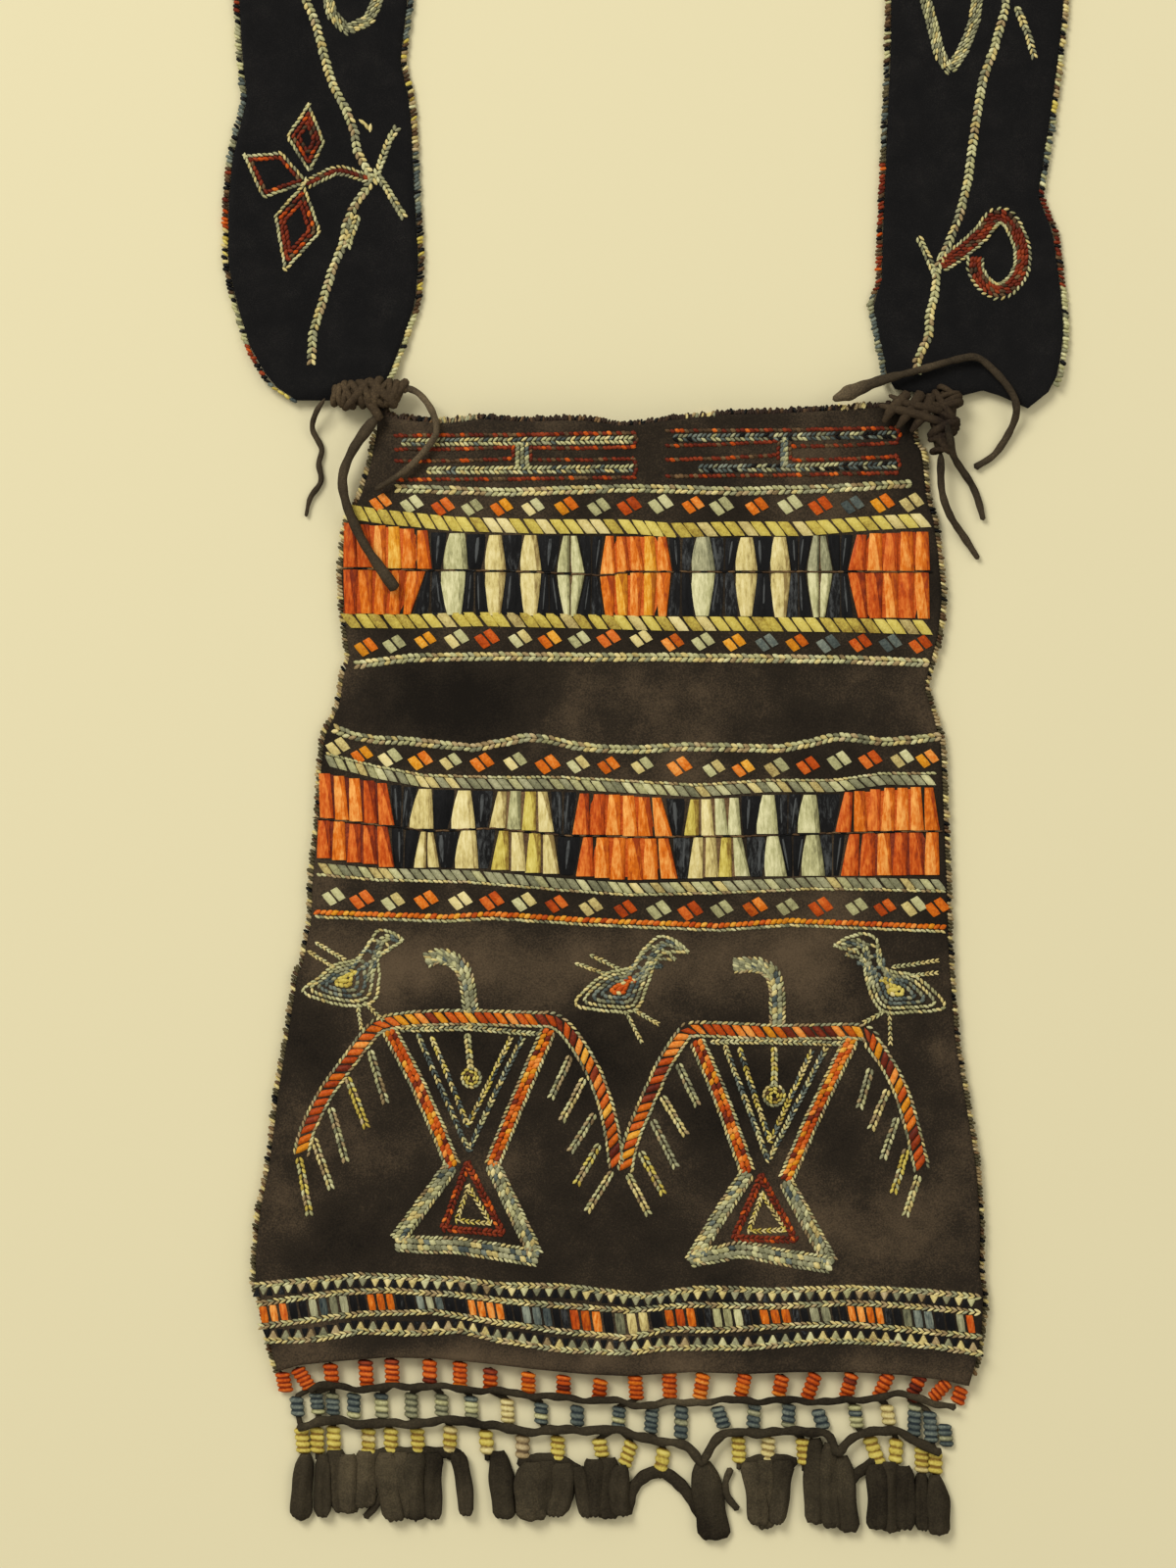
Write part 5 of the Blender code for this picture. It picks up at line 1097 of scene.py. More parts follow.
def small_birds():
    """The three small standing birds over the spread ones, each of rings that shrink to its core."""
    for name, core, middle, outline, neck, limbs in SMALL_BIRDS:
        work = Quills()
        ring = smooth_steps(outline, 3.0, closed=True)
        middle = np.array(middle, float)
        for share, paints, wide in ((1.0, ("pale", "cream", "pale"), 3.4), (0.80, ("pale", "cream", "grey"), 3.4),
                                    (0.60, ("blue", "grey"), 4.2), (0.40, ("blue", "grey"), 4.2),
                                    (0.20, (core, core, core, "cream"), 5.0)):
            line = middle + (ring - middle) * share
            twist(work, line, paints, pitch=4.8, long=5.8, wide=wide, slant=26)
        work.stitch(*middle, -30 if core == "deep" else 0, 12, 6, core)
        band(work, neck, ("grey", "pale", "blue"), 7.0, 2, smooth=True, pitch=5.0, long=6.2, slant=30)
        for limb in limbs:
            twin_rows(work, limb, ("cream", "pale"), 0.9, 24, pitch=4.8, long=5.4, wide=2.3)
        work.build(name + "_quills", (name,))


LINE_9 = ((262, 1312), (316, 1307), (368, 1302), (419, 1304), (470, 1306), (508, 1312), (572, 1313), (640, 1321),
          (654, 1323), (720, 1315), (787, 1318), (868, 1315), (935, 1318), (998, 1324))
LINE_10 = ((264, 1331), (342, 1320), (393, 1317), (470, 1322), (521, 1329), (640, 1338), (707, 1332), (787, 1334),
           (868, 1330), (921, 1333), (998, 1340))
LINE_11 = ((266, 1354), (329, 1346), (368, 1341), (444, 1339), (495, 1348), (572, 1359), (640, 1366), (680, 1357),
           (734, 1358), (814, 1353), (868, 1352), (921, 1357), (1000, 1365))
LINE_12 = ((272, 1369), (316, 1368), (368, 1359), (419, 1361), (470, 1358), (508, 1368), (572, 1378), (640, 1381),
           (680, 1376), (761, 1376), (841, 1369), (895, 1370), (948, 1374), (1000, 1382))
# The border's blocks: colour, left and right end
BLOCKS = (
    ("orange", 264, 294), ("blue", 314, 356), ("orange", 374, 403), ("blue", 424, 453), ("orange", 477, 515),
    ("blue", 532, 564), ("orange", 581, 615), ("cream", 627, 663), ("orange", 678, 711), ("pale", 727, 759),
    ("orange", 775, 808), ("grey", 826, 849), ("orange", 865, 903), ("blue", 921, 954), ("deep", 976, 996),
)


def border_line(name, node, line, side):
    """A plaited line with pale triangles on one side of it and black between them."""
    paints = ("cream", "pale", "tan", "grey")
    work = Quills()
    plait(work, line, paints, 5.8, 6.0)
    teeth = even_steps(line, TOOTH_PITCH)
    for (x, y), (x2, y2) in zip(teeth, teeth[1:]):
        mx, my = (x + x2) / 2, (y + y2) / 2
        root, tip = my + side * 2.2, my + side * 10.5
        work.patch(((mx - 5.4, root), (mx + 5.4, root), (mx + 1.0, tip), (mx - 1.0, tip)), pick(paints), thick=0.5)
        root, tip = y + side * 2.6, y + side * 12
        work.patch(((x - 0.8, root), (x + 0.8, root), (x + 4.8, tip), (x - 4.8, tip)), "black", thick=0.22)
    work.build(name, (node,))


def border():
    """The border over the fringe: lines with small triangles, and a row of blocks between them."""
    border_line("border_upper_quills", "border_teeth_upper", LINE_9, 1)
    border_line("border_lower_quills", "border_teeth_lower", LINE_12, -1)
    work = Quills()
    for line in (LINE_10, LINE_11):
        plait(work, line, ("cream", "tan", "pale", "grey"), 5.6, 6.0)
    ends = [(264, 264)] + [(a, b) for _, a, b in BLOCKS] + [(999, 999)]
    between = [("black", a, b) for (_, a), (b, _) in zip(ends, ends[1:]) if b - a > 5]
    for colour, a, b in list(BLOCKS) + between:
        count = max(1, round((b - a) / BLOCK_QUILL))
        for k in range(count):
            x1, x2 = a + (b - a) * k / count, a + (b - a) * (k + 1) / count
            top, low = at(LINE_10, (x1 + x2) / 2) + 3.4, at(LINE_11, (x1 + x2) / 2) - 3.4
            gap, lean = (0.9, 1.6) if colour != "black" else (0.2, 1.6)
            paint = colour if rng.random() > 0.25 or colour == "black" else {"orange": "deep"}.get(colour, "grey")
            x1, x2 = x1 + gap, x2 - gap
            work.patch(((x1 - lean, top), (x2 - lean, top), (x2 + lean, low), (x1 + lean, low)), paint + "_long",
                       thick=0.6 if colour != "black" else 0.35, taper=0.06)
    work.build("border_blocks_quills", ("border_blocks",))


def unit_bead(sides=8, rings=4):
    """Points and faces of a low round bead along x."""
    points, faces = [(-1.0, 0.0, 0.0)], []
    for i in range(1, rings):
        a = math.pi * i / rings
        for k in range(sides):
            b = 2 * math.pi * k / sides
            wide = math.sin(a) ** 0.6
            points.append((-math.cos(a), wide * math.cos(b), wide * math.sin(b)))
    points.append((1.0, 0.0, 0.0))
    last = len(points) - 1
    for k in range(sides):
        m = (k + 1) % sides
        faces.append((0, 1 + m, 1 + k))
        for i in range(rings - 2):
            faces.append((1 + i * sides + k, 1 + i * sides + m, 1 + (i + 1) * sides + m, 1 + (i + 1) * sides + k))
        faces.append((last, last - sides + k, last - sides + m))
    return np.array(points), faces


class Beads:
    """Rounded whip stitches that stand clear of a surface."""

    def __init__(self):
        self.points, self.faces = unit_bead()
        self.middle, self.axes, self.paint, self.tint = [], [], [], []

    def add(self, middle, along, up, long, wide, high, paint):
        """The bead's middle in metres, the way it runs, the way up, and its half sizes in metres."""
        a = np.asarray(along, float)
        a = a / np.linalg.norm(a)
        c = np.asarray(up, float)
        c = c - a * np.dot(a, c)
        c = c / np.linalg.norm(c)
        self.middle.append(np.asarray(middle, float))
        self.axes.append(np.stack([a * long, np.cross(c, a) * wide, c * high]))
        self.paint.append(paint)
        self.tint.append(rng.random())

    def build(self, name, nodes, slot):
        """The stitches as one piece for its nodes."""
        paints = sorted(set(self.paint))
        points = np.einsum("pk,nkx->npx", self.points, np.array(self.axes)) + np.array(self.middle)[:, None]
        size = len(self.points)
        faces = [[i + n * size for i in corners] for n in range(len(self.paint)) for corners in self.faces]
        which = np.repeat([paints.index(paint) for paint in self.paint], len(self.faces))
        piece = make(name, points, faces, paints, which, np.repeat(self.tint, size))
        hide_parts(*nodes)


def side_seams():
    """The whipped edges down both sides."""
    worn = ("olive", "tan", "brown", "olive", "cream", "black", "tan")
    for side, name, edge in ((-1, "edging_left", LEFT_EDGE[1:-1]), (1, "edging_right", RIGHT_EDGE[:-1])):
        work = Beads()
        line = smooth_steps(edge, 3.9)
        ahead = offset_line(line, 0.0)[1]
        for (x, y), (ax, ay) in zip(line, ahead):
            x += rng.uniform(-0.9, 0.9) - side * 4.2
            way = np.array([ay, ax, 0.0]) + rng.uniform(0.3, 0.7) * np.array([ax, -ay, 0.0])
            long, wide = rng.uniform(4.2, 5.6) * GRID, rng.uniform(1.6, 2.4) * GRID
            work.add(place(x, y, SEAM_MIDDLE), way, (0, 0, 1), long, wide, SEAM_MIDDLE, pick(worn))
        work.build(name + "_stitches", (name,), "quill")


def mouth_seams():
    """The whipped edge of each panel at the mouth, with a few pale runs."""
    for name, high, back in (("mouth_edging_front", None, 0.0), ("mouth_edging_back", 0.0008, 2.0)):
        work = Beads()
        for x, y in smooth_steps(MOUTH[2:], 2.6):
            z = float(face(x, y + 6)) - HIDE / 2 if high is None else high
            light = any(start < x < end for start, end in PALE_MOUTH_RUNS)
            paint = pick(("tan", "fuzz", "cream", "grey") if light else ("fuzz", "fuzz", "black", "fuzz", "brown"))
            spot = place(x + rng.uniform(-1.2, 1.2), y + rng.uniform(1.8, 4.6) - back, z)
            way = (rng.uniform(-0.5, 0.9), 1, 0)
            long, wide = rng.uniform(3.2, 4.6) * GRID, rng.uniform(1.3, 2.1) * GRID
            work.add(spot, way, (0, 0, 1), long, wide, 0.00085, paint)
        work.build(name + "_stitches", (name,), "quill")


# The strap's sizes in metres, the same as the model's
STRAP_WIDTH = 0.0575
STRAP = 0.0015
STRAP_EDGING = 0.0020
STRAP_LEFT_X = -0.0904
STRAP_RIGHT_X = 0.1018
STRAP_END_Y = 0.1465
STRAP_RISE = 0.2845
STRAP_HEIGHT = 0.00105
STRAP_END_LIFT = 0.0016
STRAP_LIFT_RUN = 0.024
FOLD_RADIUS = 0.0012
STRAP_WAVE = 0.00016
END_CUT_RUN = 0.016
STRAP_COLUMNS = 24
STRAP_LONG = 2 * STRAP_RISE + STRAP_RIGHT_X - STRAP_LEFT_X
# The cloth's edges near its two ends: distance from the end, left edge and right edge
STRAP_LEFT = (
    (0.0000, -0.0100, 0.0190), (0.0045, -0.0168, 0.0205), (0.0090, -0.0200, 0.0225), (0.0160, -0.0238, 0.0252),
    (0.0290, -0.0278, 0.0296), (0.0415, -0.0305, 0.0307), (0.0590, -0.0302, 0.0296), (0.0705, -0.0293, 0.0290),
    (0.0810, -0.0270, 0.0287), (0.0900, -0.0247, 0.0278), (0.1010, -0.0261, 0.0252), (0.1180, -0.0270, 0.0273),
)
STRAP_RIGHT = (
    (0.0000, -0.0075, 0.0195), (0.0045, -0.0267, 0.0262), (0.0090, -0.0270, 0.0285), (0.0160, -0.0284, 0.0296),
    (0.0205, -0.0293, 0.0302), (0.0290, -0.0310, 0.0296), (0.0350, -0.0284, 0.0290), (0.0500, -0.0280, 0.0270),
    (0.0610, -0.0275, 0.0225), (0.0810, -0.0267, 0.0258), (0.1010, -0.0258, 0.0284), (0.1180, -0.0255, 0.0302),
)


def strap_edge(side, v):
    """How far an edge of the cloth stands from the strap's middle line: side is -1 for the outer one."""
    from_end = min(v, STRAP_LONG - v)
    left = v < STRAP_LONG / 2
    table = (STRAP_LEFT if left else STRAP_RIGHT) + ((0.160, -STRAP_WIDTH / 2, STRAP_WIDTH / 2),)
    column = (1 if side < 0 else 2) if left else (2 if side < 0 else 1)
    edge = np.interp(from_end, [row[0] for row in table], [abs(row[column]) for row in table])
    return side * (float(edge) - STRAP_EDGING - 0.0003)


def strap_mid(run):
    """The height of the strap's middle plane, by the distance from its nearer end."""
    return STRAP_HEIGHT + STRAP_END_LIFT * float(blend_step(1 - run / STRAP_LIFT_RUN))


# The ragged right end: a place across it, and how far it is cut short there
RIGHT_END = (
    (-0.0280, -0.0010), (-0.0076, 0.0), (0.0038, 0.0030), (0.0090, 0.0014), (0.0194, -0.0034), (0.0244, -0.0014),
)


def end_cut(u, v):
    """How far the ragged right end of the strap is cut short there."""
    run = STRAP_LONG - v
    if run > END_CUT_RUN:
        return 0.0
    return float(np.interp(-u, *rows(RIGHT_END))) * float(blend_step(1 - run / END_CUT_RUN))


def cloth_wave(u, v):
    """The small rise and fall of the strap's cloth, in metres."""
    return STRAP_WAVE * np.sin(v * 95 + u * 60) * np.sin(u * 140 + v * 31)


def fold_over(s, n, up):
    """A flat fold: the place across the fold line and the height, of a point s past it and n high."""
    half = math.pi * FOLD_RADIUS / 2
    if s <= -half:
        return s, n
    if s >= half:
        return -s, 2 * up * FOLD_RADIUS - n
    turn = (s + half) / FOLD_RADIUS
    reach = FOLD_RADIUS - up * n
    return -half + reach * math.sin(turn), up * (FOLD_RADIUS - reach * math.cos(turn))


def strap_point(u, v, n):
    """A point of the folded strap: u across it, v along it and n above its middle plane."""
    root = 1 / math.sqrt(2)
    first, second = STRAP_RISE, STRAP_LONG - STRAP_RISE
    top = STRAP_END_Y + STRAP_RISE
    if v < (first + second) / 2:
        s, t = (v - first - u) * root, (v - first + u) * root
        q, z = fold_over(s, n, 1)
        return np.array((STRAP_LEFT_X + (t - q) * root, top + (t + q) * root, z + strap_mid(v)))
    s, t = (v - second + u) * root, (v - second - u) * root
    q, z = fold_over(s, -n, -1)
    height = z + 2 * FOLD_RADIUS + strap_mid(STRAP_LONG - v)
    return np.array((STRAP_RIGHT_X + (t + q) * root, top + (q - t) * root, height))


def strap_cuts(step):
    """Where the strap is cut across, as (distance along it, lean of the cut)."""
    first = STRAP_RISE
    half = math.pi * FOLD_RADIUS / 2
    keys = [(0.0, 0.0), (0.20, 0.0), (0.235, 0.5)]
    keys += [(first + half * math.sqrt(2) * k / 4, 1.0) for k in range(-4, 5)]
    keys += [(first + 0.05, 0.2), (STRAP_LONG / 2, 0.0)]
    keys += [(STRAP_LONG - v, -lean) for v, lean in reversed(keys[:-1])]
    cuts = []
    for (v1, a), (v2, b) in zip(keys, keys[1:]):
        parts = max(1, round((v2 - v1) / step))
        cuts += [(v1 + (v2 - v1) * k / parts, a + (b - a) * k / parts) for k in range(parts)]
    return cuts + [keys[-1]]


def strap_cloth():
    """The black wool strap, one band folded flat at its two upper corners."""
    points = []
    cuts = strap_cuts(0.004)
    for v, lean in cuts:
        a, b = strap_edge(-1, v), strap_edge(1, v)
        near_end = min(v, STRAP_LONG - v) < 0.2
        for high in (1, -1):
            for k in range(STRAP_COLUMNS + 1):
                share = k / STRAP_COLUMNS if high > 0 else 1 - k / STRAP_COLUMNS
                u = a + (b - a) * share
                wave = cloth_wave(u, v) * near_end
                thin = 1 - 0.35 * abs(2 * share - 1) ** 8
                points.append(strap_point(u, v + lean * u - end_cut(u, v), high * thin * STRAP / 2 + wave))
    ring = 2 * (STRAP_COLUMNS + 1)
    faces = walls(len(cuts), ring)
    last = (len(cuts) - 1) * ring
    for k in range(STRAP_COLUMNS):
        m = ring - 2 - k
        faces.append((k, m + 1, m, k + 1))
        faces.append((last + k, last + k + 1, last + m, last + m + 1))
    piece = make("strap_cloth", points, outward(points, faces), ["cloth"])
    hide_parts("strap")


# The colours along each edge of the strap: where a run ends, down the grid, and its paints
EDGE_RUNS = {
    ("left", -1): ((12, ("red", "brown")), (75, ("grey", "pale")), (168, ("blue", "grey")),
                   (232, ("red", "deep", "brown")), (272, ("cream", "yellow")), (300, ("black", "brown")),
                   (350, ("pale", "grey")), (388, ("red", "deep", "brown")), (430, ("yellow", "blue"))),
    ("left", 1): ((38, ("blue", "grey")), (152, ("cream", "tan", "yellow", "brown", "pale")), (215, ("blue", "grey")),
                  (240, ("black", "brown")), (318, ("yellow", "brown")), (430, ("pale", "cream"))),
    ("right", 1): ((60, ("brown", "pale")), (165, ("olive", "blue", "black")), (298, ("red", "red", "brown", "deep")),
                   (430, ("blue", "grey"))),
    ("right", -1): ((100, ("cream", "brown", "tan", "pale")), (116, ("yellow",)), (190, ("blue", "pale")),
                    (290, ("red", "brown")), (430, ("pale", "grey"))),
}
UPPER_RUNS = (("blue", "grey"), ("cream", "yellow"), ("deep", "red"), ("pale", "grey"), ("brown", "pale"))


def edge_paint(side, v, y):
    """The paint of the edging's stitch there: the colours change in runs along each edge."""
    if y < -5:
        return pick(UPPER_RUNS[int(v / 0.024 + (side > 0) * 2) % 5])
    for end, paints in EDGE_RUNS[("left" if v < STRAP_LONG / 2 else "right", side)]:
        if y < end:
            return pick(paints)
    return "brown"


def strap_edges():
    """The stitched edges of the strap."""
    for side, name in ((-1, "strap_edging_outer"), (1, "strap_edging_inner")):
        work = Beads()
        for v, lean in strap_cuts(0.00115):
            if STRAP_LONG - v < 0.0046:
                continue
            u = strap_edge(side, v) + side * (0.0010 + rng.uniform(-0.00022, 0.00022))
            near = v + lean * u - end_cut(u, v)
            spot = strap_point(u, near, 0.0)
            way = strap_point(u + side * 0.0004, near + side * lean * 0.0004 + rng.uniform(0.0, 0.0004), 0.0) - spot
            up = strap_point(u, near, 0.0004) - spot
            y = GRID_ZERO[1] - spot[1] / GRID
            paint = "black" if rng.random() < 0.12 else edge_paint(side, v, y)
            work.add(spot, way, up, rng.uniform(0.00095, 0.0013), rng.uniform(0.00045, 0.00072), 0.00088, paint)
        work.build(name + "_stitches", (name,), "quill")


def strap_top(x, y):
    """The height of the strap's outside, in metres, at a place on the grid."""
    run = (GRID_ZERO[1] - np.asarray(y, float)) * GRID - STRAP_END_Y
    lift = STRAP_END_LIFT * blend_step(1 - run / STRAP_LIFT_RUN)
    u = (np.asarray(x, float) - GRID_ZERO[0]) * GRID
    v = np.where(u < 0, run, STRAP_LONG - run)
    u = np.where(u < 0, u - STRAP_LEFT_X, u - STRAP_RIGHT_X)
    return STRAP_HEIGHT + lift + STRAP / 2 + cloth_wave(u, v)


LEFT_VINE = {
    "stem": ((310.9, -3), (321.2, 20.5), (328.5, 49.9), (338.8, 85), (352, 108.5), (360.8, 132), (363.7, 152.5),
             (379.9, 182), (363.7, 202.4), (352, 226), (349, 246.4), (337.3, 275.7), (328.5, 305), (318.3, 337.3),
             (316.8, 368)),
    "twigs": (((384.3, 173), (396, 140.8), (403.3, 129)), ((384.3, 176), (396, 193.6), (410.7, 218.5)),
              ((363.7, 220), (353.5, 249))),
    "red": ((372.5, 179), (346, 171.6), (331.5, 176), (313.9, 184.8)),
    "petals": ((2, ((313.9, 101.2), (330.9, 143.7), (314.5, 176.0), (290.4, 136.4))),
               (1, ((246.4, 155.5), (286, 152.5), (314.5, 184.0), (266.9, 200.9))),
               (2, ((309, 183.0), (327, 234.7), (288.9, 277.2), (278.7, 217)))),
    "leaf": ((334.4, -3), (337.3, 11.7), (353.5, 27.9), (375.5, 17.6), (384.3, -3)),
}
RIGHT_VINE = {
    "stem": ((1027.7, -3), (1027.7, 5.9), (1016, 46.9), (1004.3, 79.2), (996.9, 126), (989.6, 178.9), (980.8, 217),
             (969, 246.4), (960.3, 265.5), (957.3, 272.8), (955.9, 296.3), (950, 319.7), (948.5, 343.2),
             (936.8, 366.7), (936.8, 378.4)),
    "twigs": (((939.7, 242), (948.5, 261), (955.9, 278.7)), ((1039.5, 5.9), (1049.7, 29.3), (1057, 54.3))),
    "red": ((963.2, 267), (980.8, 255.2), (1001.3, 237.6), (1016, 220), (1030.7, 221.5), (1042.4, 243.5),
            (1045.3, 264), (1039.5, 281.6), (1027.7, 293.4), (1016, 294.8), (1004.3, 286), (996.9, 272.8),
            (996.9, 262.5)),
    "petals": (),
    "leaf": ((946, -3), (951.5, 17.6), (960.3, 52.8), (970.5, 68.9), (983.7, 49.9), (995.5, 20.5), (999, -3)),
}


def petal(work, corners, reds):
    """A pointed petal: a white outline and rows of red inside it, with the cloth showing in its middle."""
    ring = even_steps(closed_line(corners), 2.0)
    middle = ring.mean(0)
    reach = np.hypot(*(ring - middle).T).min()
    for k in range(reds + 1):
        line = middle + (ring - middle) * (1 - (1.5 + 3.9 * k) / reach)
        paints = ("pale", "cream", "grey") if k == 0 else ("red", "red", "red", "brown", "deep")
        twist(work, line, paints, pitch=5.2, long=6.4, wide=3.3 if k == 0 else 4.2, slant=24)


def vines():
    """The quilled vine on each end of the strap, with its flower or hook and a leaf."""
    red, white = ("red", "red", "red", "brown"), ("pale", "cream", "pale", "grey")
    for name, vine, wide in (("vine_left", LEFT_VINE, 4.6), ("vine_right", RIGHT_VINE, 12.0)):
        work = Quills(strap_top)
        for side in (-1, 1):
            twist(work, vine["stem"], ("pale", "cream", "pale", "grey", "tan"), shift=side * 2.1, pitch=6.0, long=7.4,
                  wide=4.5, slant=side * 34)
            for twig in vine["twigs"]:
                twist(work, twig, ("pale", "grey", "cream"), shift=side * 1.9, pitch=5.2, long=6.4, wide=3.8,
                      slant=side * 28)
        band(work, vine["red"], red, wide, max(1, round(wide / 4.4)), white, pitch=5.4, long=6.8, slant=30)
        for reds, petal_corners in vine["petals"]:
            petal(work, petal_corners, reds)
        if name == "vine_left":
            for x, y, angle in ((369, 122, 35), (373, 126, 60), (377, 128, 95)):
                work.stitch(x, y, angle, 9, 4, "cream")
        work.build(name + "_quills", (name,))
        work = Quills(strap_top)
        for shift in (-4.4, -1.5, 1.5, 4.4):
            twist(work, vine["leaf"], ("pale", "grey", "cream", "grey"), shift=shift, pitch=5.4, long=6.4, wide=3.2,
                  slant=24)
        work.build(name + "_leaf_quills", (name + "_leaf",))


THONG_1 = ((316, 1420), (329, 1415), (375, 1418), (419, 1415), (495, 1420), (572, 1428), (623, 1431), (654, 1435),
           (734, 1431), (814, 1431), (868, 1431), (921, 1425), (975, 1439))
THONG_2 = ((304, 1457), (340, 1451), (368, 1454), (419, 1454), (470, 1451), (515, 1459), (545, 1462), (572, 1461),
           (623, 1461), (654, 1467), (680, 1474), (699, 1476), (708, 1484), (716, 1494), (721, 1486), (729, 1473),
           (742, 1465), (766, 1463), (793, 1463), (828, 1462), (846, 1466), (855, 1484), (864, 1476), (876, 1466),
           (895, 1461), (916, 1463), (935, 1472), (960, 1483))
# Each wrap of the fringe: the middle of its top and of its foot
RED_WRAPS = (
    (287, 1402, 291, 1423), (302, 1398, 316, 1419), (336, 1393, 339, 1417), (372, 1389, 374, 1418),
    (399, 1388, 400, 1415), (438, 1389, 438, 1414), (469, 1391, 469, 1418), (500, 1398, 500, 1422),
    (539, 1402, 539, 1428), (575, 1405, 575, 1431), (613, 1409, 611, 1432), (648, 1405, 650, 1431),
    (683, 1401, 684, 1430), (718, 1403, 714, 1431), (761, 1403, 756, 1429), (799, 1405, 795, 1428),
    (833, 1403, 824, 1431), (870, 1403, 864, 1430), (908, 1402, 897, 1430), (941, 1404, 930, 1432),
    (969, 1411, 952, 1431), (983, 1418, 978, 1435),
)
BLUE_WRAPS = (
    (301, 1428, 303, 1448), (321, 1424, 324, 1446), (338, 1424, 339, 1447), (360, 1424, 360, 1450),
    (388, 1424, 389, 1450), (419, 1424, 419, 1450), (450, 1425, 450, 1448), (480, 1427, 481, 1450),
    (517, 1430, 518, 1455), (552, 1434, 552, 1456), (589, 1437, 589, 1458), (632, 1438, 631, 1460),
    (666, 1437, 664, 1465), (696, 1437, 695, 1471), (732, 1438, 740, 1460), (771, 1435, 769, 1460),
    (806, 1435, 805, 1460), (835, 1441, 842, 1461), (873, 1436, 876, 1460), (906, 1436, 909, 1457),
    (935, 1436, 934, 1468), (950, 1443, 952, 1475), (965, 1456, 968, 1479),
)
YELLOW_WRAPS = (
    (306, 1460, 309, 1486), (322, 1459, 323, 1486), (339, 1458, 340, 1486), (375, 1460, 375, 1487),
    (398, 1460, 398, 1486), (425, 1460, 426, 1486), (459, 1458, 458, 1486), (495, 1462, 497, 1487),
    (533, 1467, 533, 1492), (569, 1468, 569, 1494), (611, 1471, 615, 1490), (645, 1474, 637, 1499),
    (678, 1481, 674, 1505), (754, 1469, 755, 1496), (785, 1469, 784, 1496), (820, 1471, 822, 1498),
    (888, 1469, 899, 1498), (916, 1471, 915, 1496), (942, 1480, 942, 1506), (956, 1484, 956, 1507),
)
PALE_WRAPS = (517, 906)
WRAP_PAINTS = ("orange", "deep", "red", "blue", "grey", "pale", "black", "cream", "yellow", "tan", "brown")
# Each tail: start, end, and its width at both
TAILS = (
    ((310.7, 1486), (305.8, 1552), 16, 22), ((329, 1486), (328, 1549), 14, 18), ((341, 1482), (347, 1545), 22, 20),
    ((354, 1486), (356, 1545), 22, 22), ((372, 1483), (369, 1540), 24, 27), ((393, 1484), (402, 1553), 22, 23),
    ((408, 1484), (411, 1551), 22, 22), ((424, 1485), (424, 1553), 24, 22), ((441, 1485), (440, 1552), 24, 22),
    ((466, 1484), (475, 1548), 20, 17), ((508, 1483), (515, 1551), 20, 26), ((543, 1494), (543, 1552), 28, 31),
    ((559, 1493), (555, 1548), 28, 24), ((574, 1495), (567, 1549), 24, 24), ((589, 1499), (600, 1550), 18, 18),
    ((606, 1491), (607, 1548), 24, 22), ((620, 1490), (621, 1551), 26, 26), ((634, 1497), (634, 1548), 18, 22),
    ((718, 1494), (730, 1573), 24, 33), ((766, 1494), (775, 1558), 22, 22), ((782, 1492), (782, 1562), 24, 22),
    ((800, 1492), (793, 1556), 26, 20), ((833, 1470), (834, 1556), 18, 26), ((848, 1474), (850, 1560), 18, 22),
    ((860, 1488), (867, 1565), 20, 24), ((895, 1496), (897, 1562), 22, 24), ((909, 1494), (911, 1566), 22, 24),
    ((923, 1498), (925, 1562), 20, 22), ((942, 1506), (944, 1563), 14, 18), ((955, 1507), (959, 1567), 16, 24),
)
# Loose thongs between the tails: half width and route
CURLS = (
    (4.0, ((384, 1496), (389, 1508), (389, 1526), (382, 1540), (372, 1551))),
    (6.0, ((376, 1491), (390, 1486), (412, 1485), (440, 1485), (462, 1486), (470, 1492))),
    (6.5, ((530, 1496), (550, 1492), (572, 1494), (590, 1505))),
    (6.5, ((639, 1547), (645, 1524), (657, 1510), (671, 1505), (684, 1509), (700, 1524), (714, 1545), (725, 1566))),
    (3.6, ((746, 1502), (741, 1516), (743, 1530), (753, 1543))),
    (6.0, ((758, 1498), (775, 1493), (797, 1492), (812, 1496))),
    (6.0, ((864, 1520), (873, 1509), (884, 1501), (895, 1494))),
    (4.6, ((574, 1500), (583, 1512), (581, 1530), (572, 1543))),
)


def drop(y):
    """The height of the fringe's underside: out of the base seam, then down on the floor."""
    return FRINGE_START * (1 - float(blend_step((y - 1408) / 22.0)))


def painted_wraps():
    """Every wrap of the fringe, with its paints, its half width and the pitch of its turns."""
    for row in RED_WRAPS:
        yield row, ("deep", "deep", "deep", "orange", "red"), 7.7, 5.6
    for row in BLUE_WRAPS:
        paints = ("cream", "yellow", "tan") if row[0] in PALE_WRAPS else ("blue", "grey", "blue", "pale", "blue")
        yield row, paints, 7.3, 6.2
    for row in YELLOW_WRAPS:
        yield row, ("yellow",) * 7 + ("cream", "tan"), 7.5, 7.4


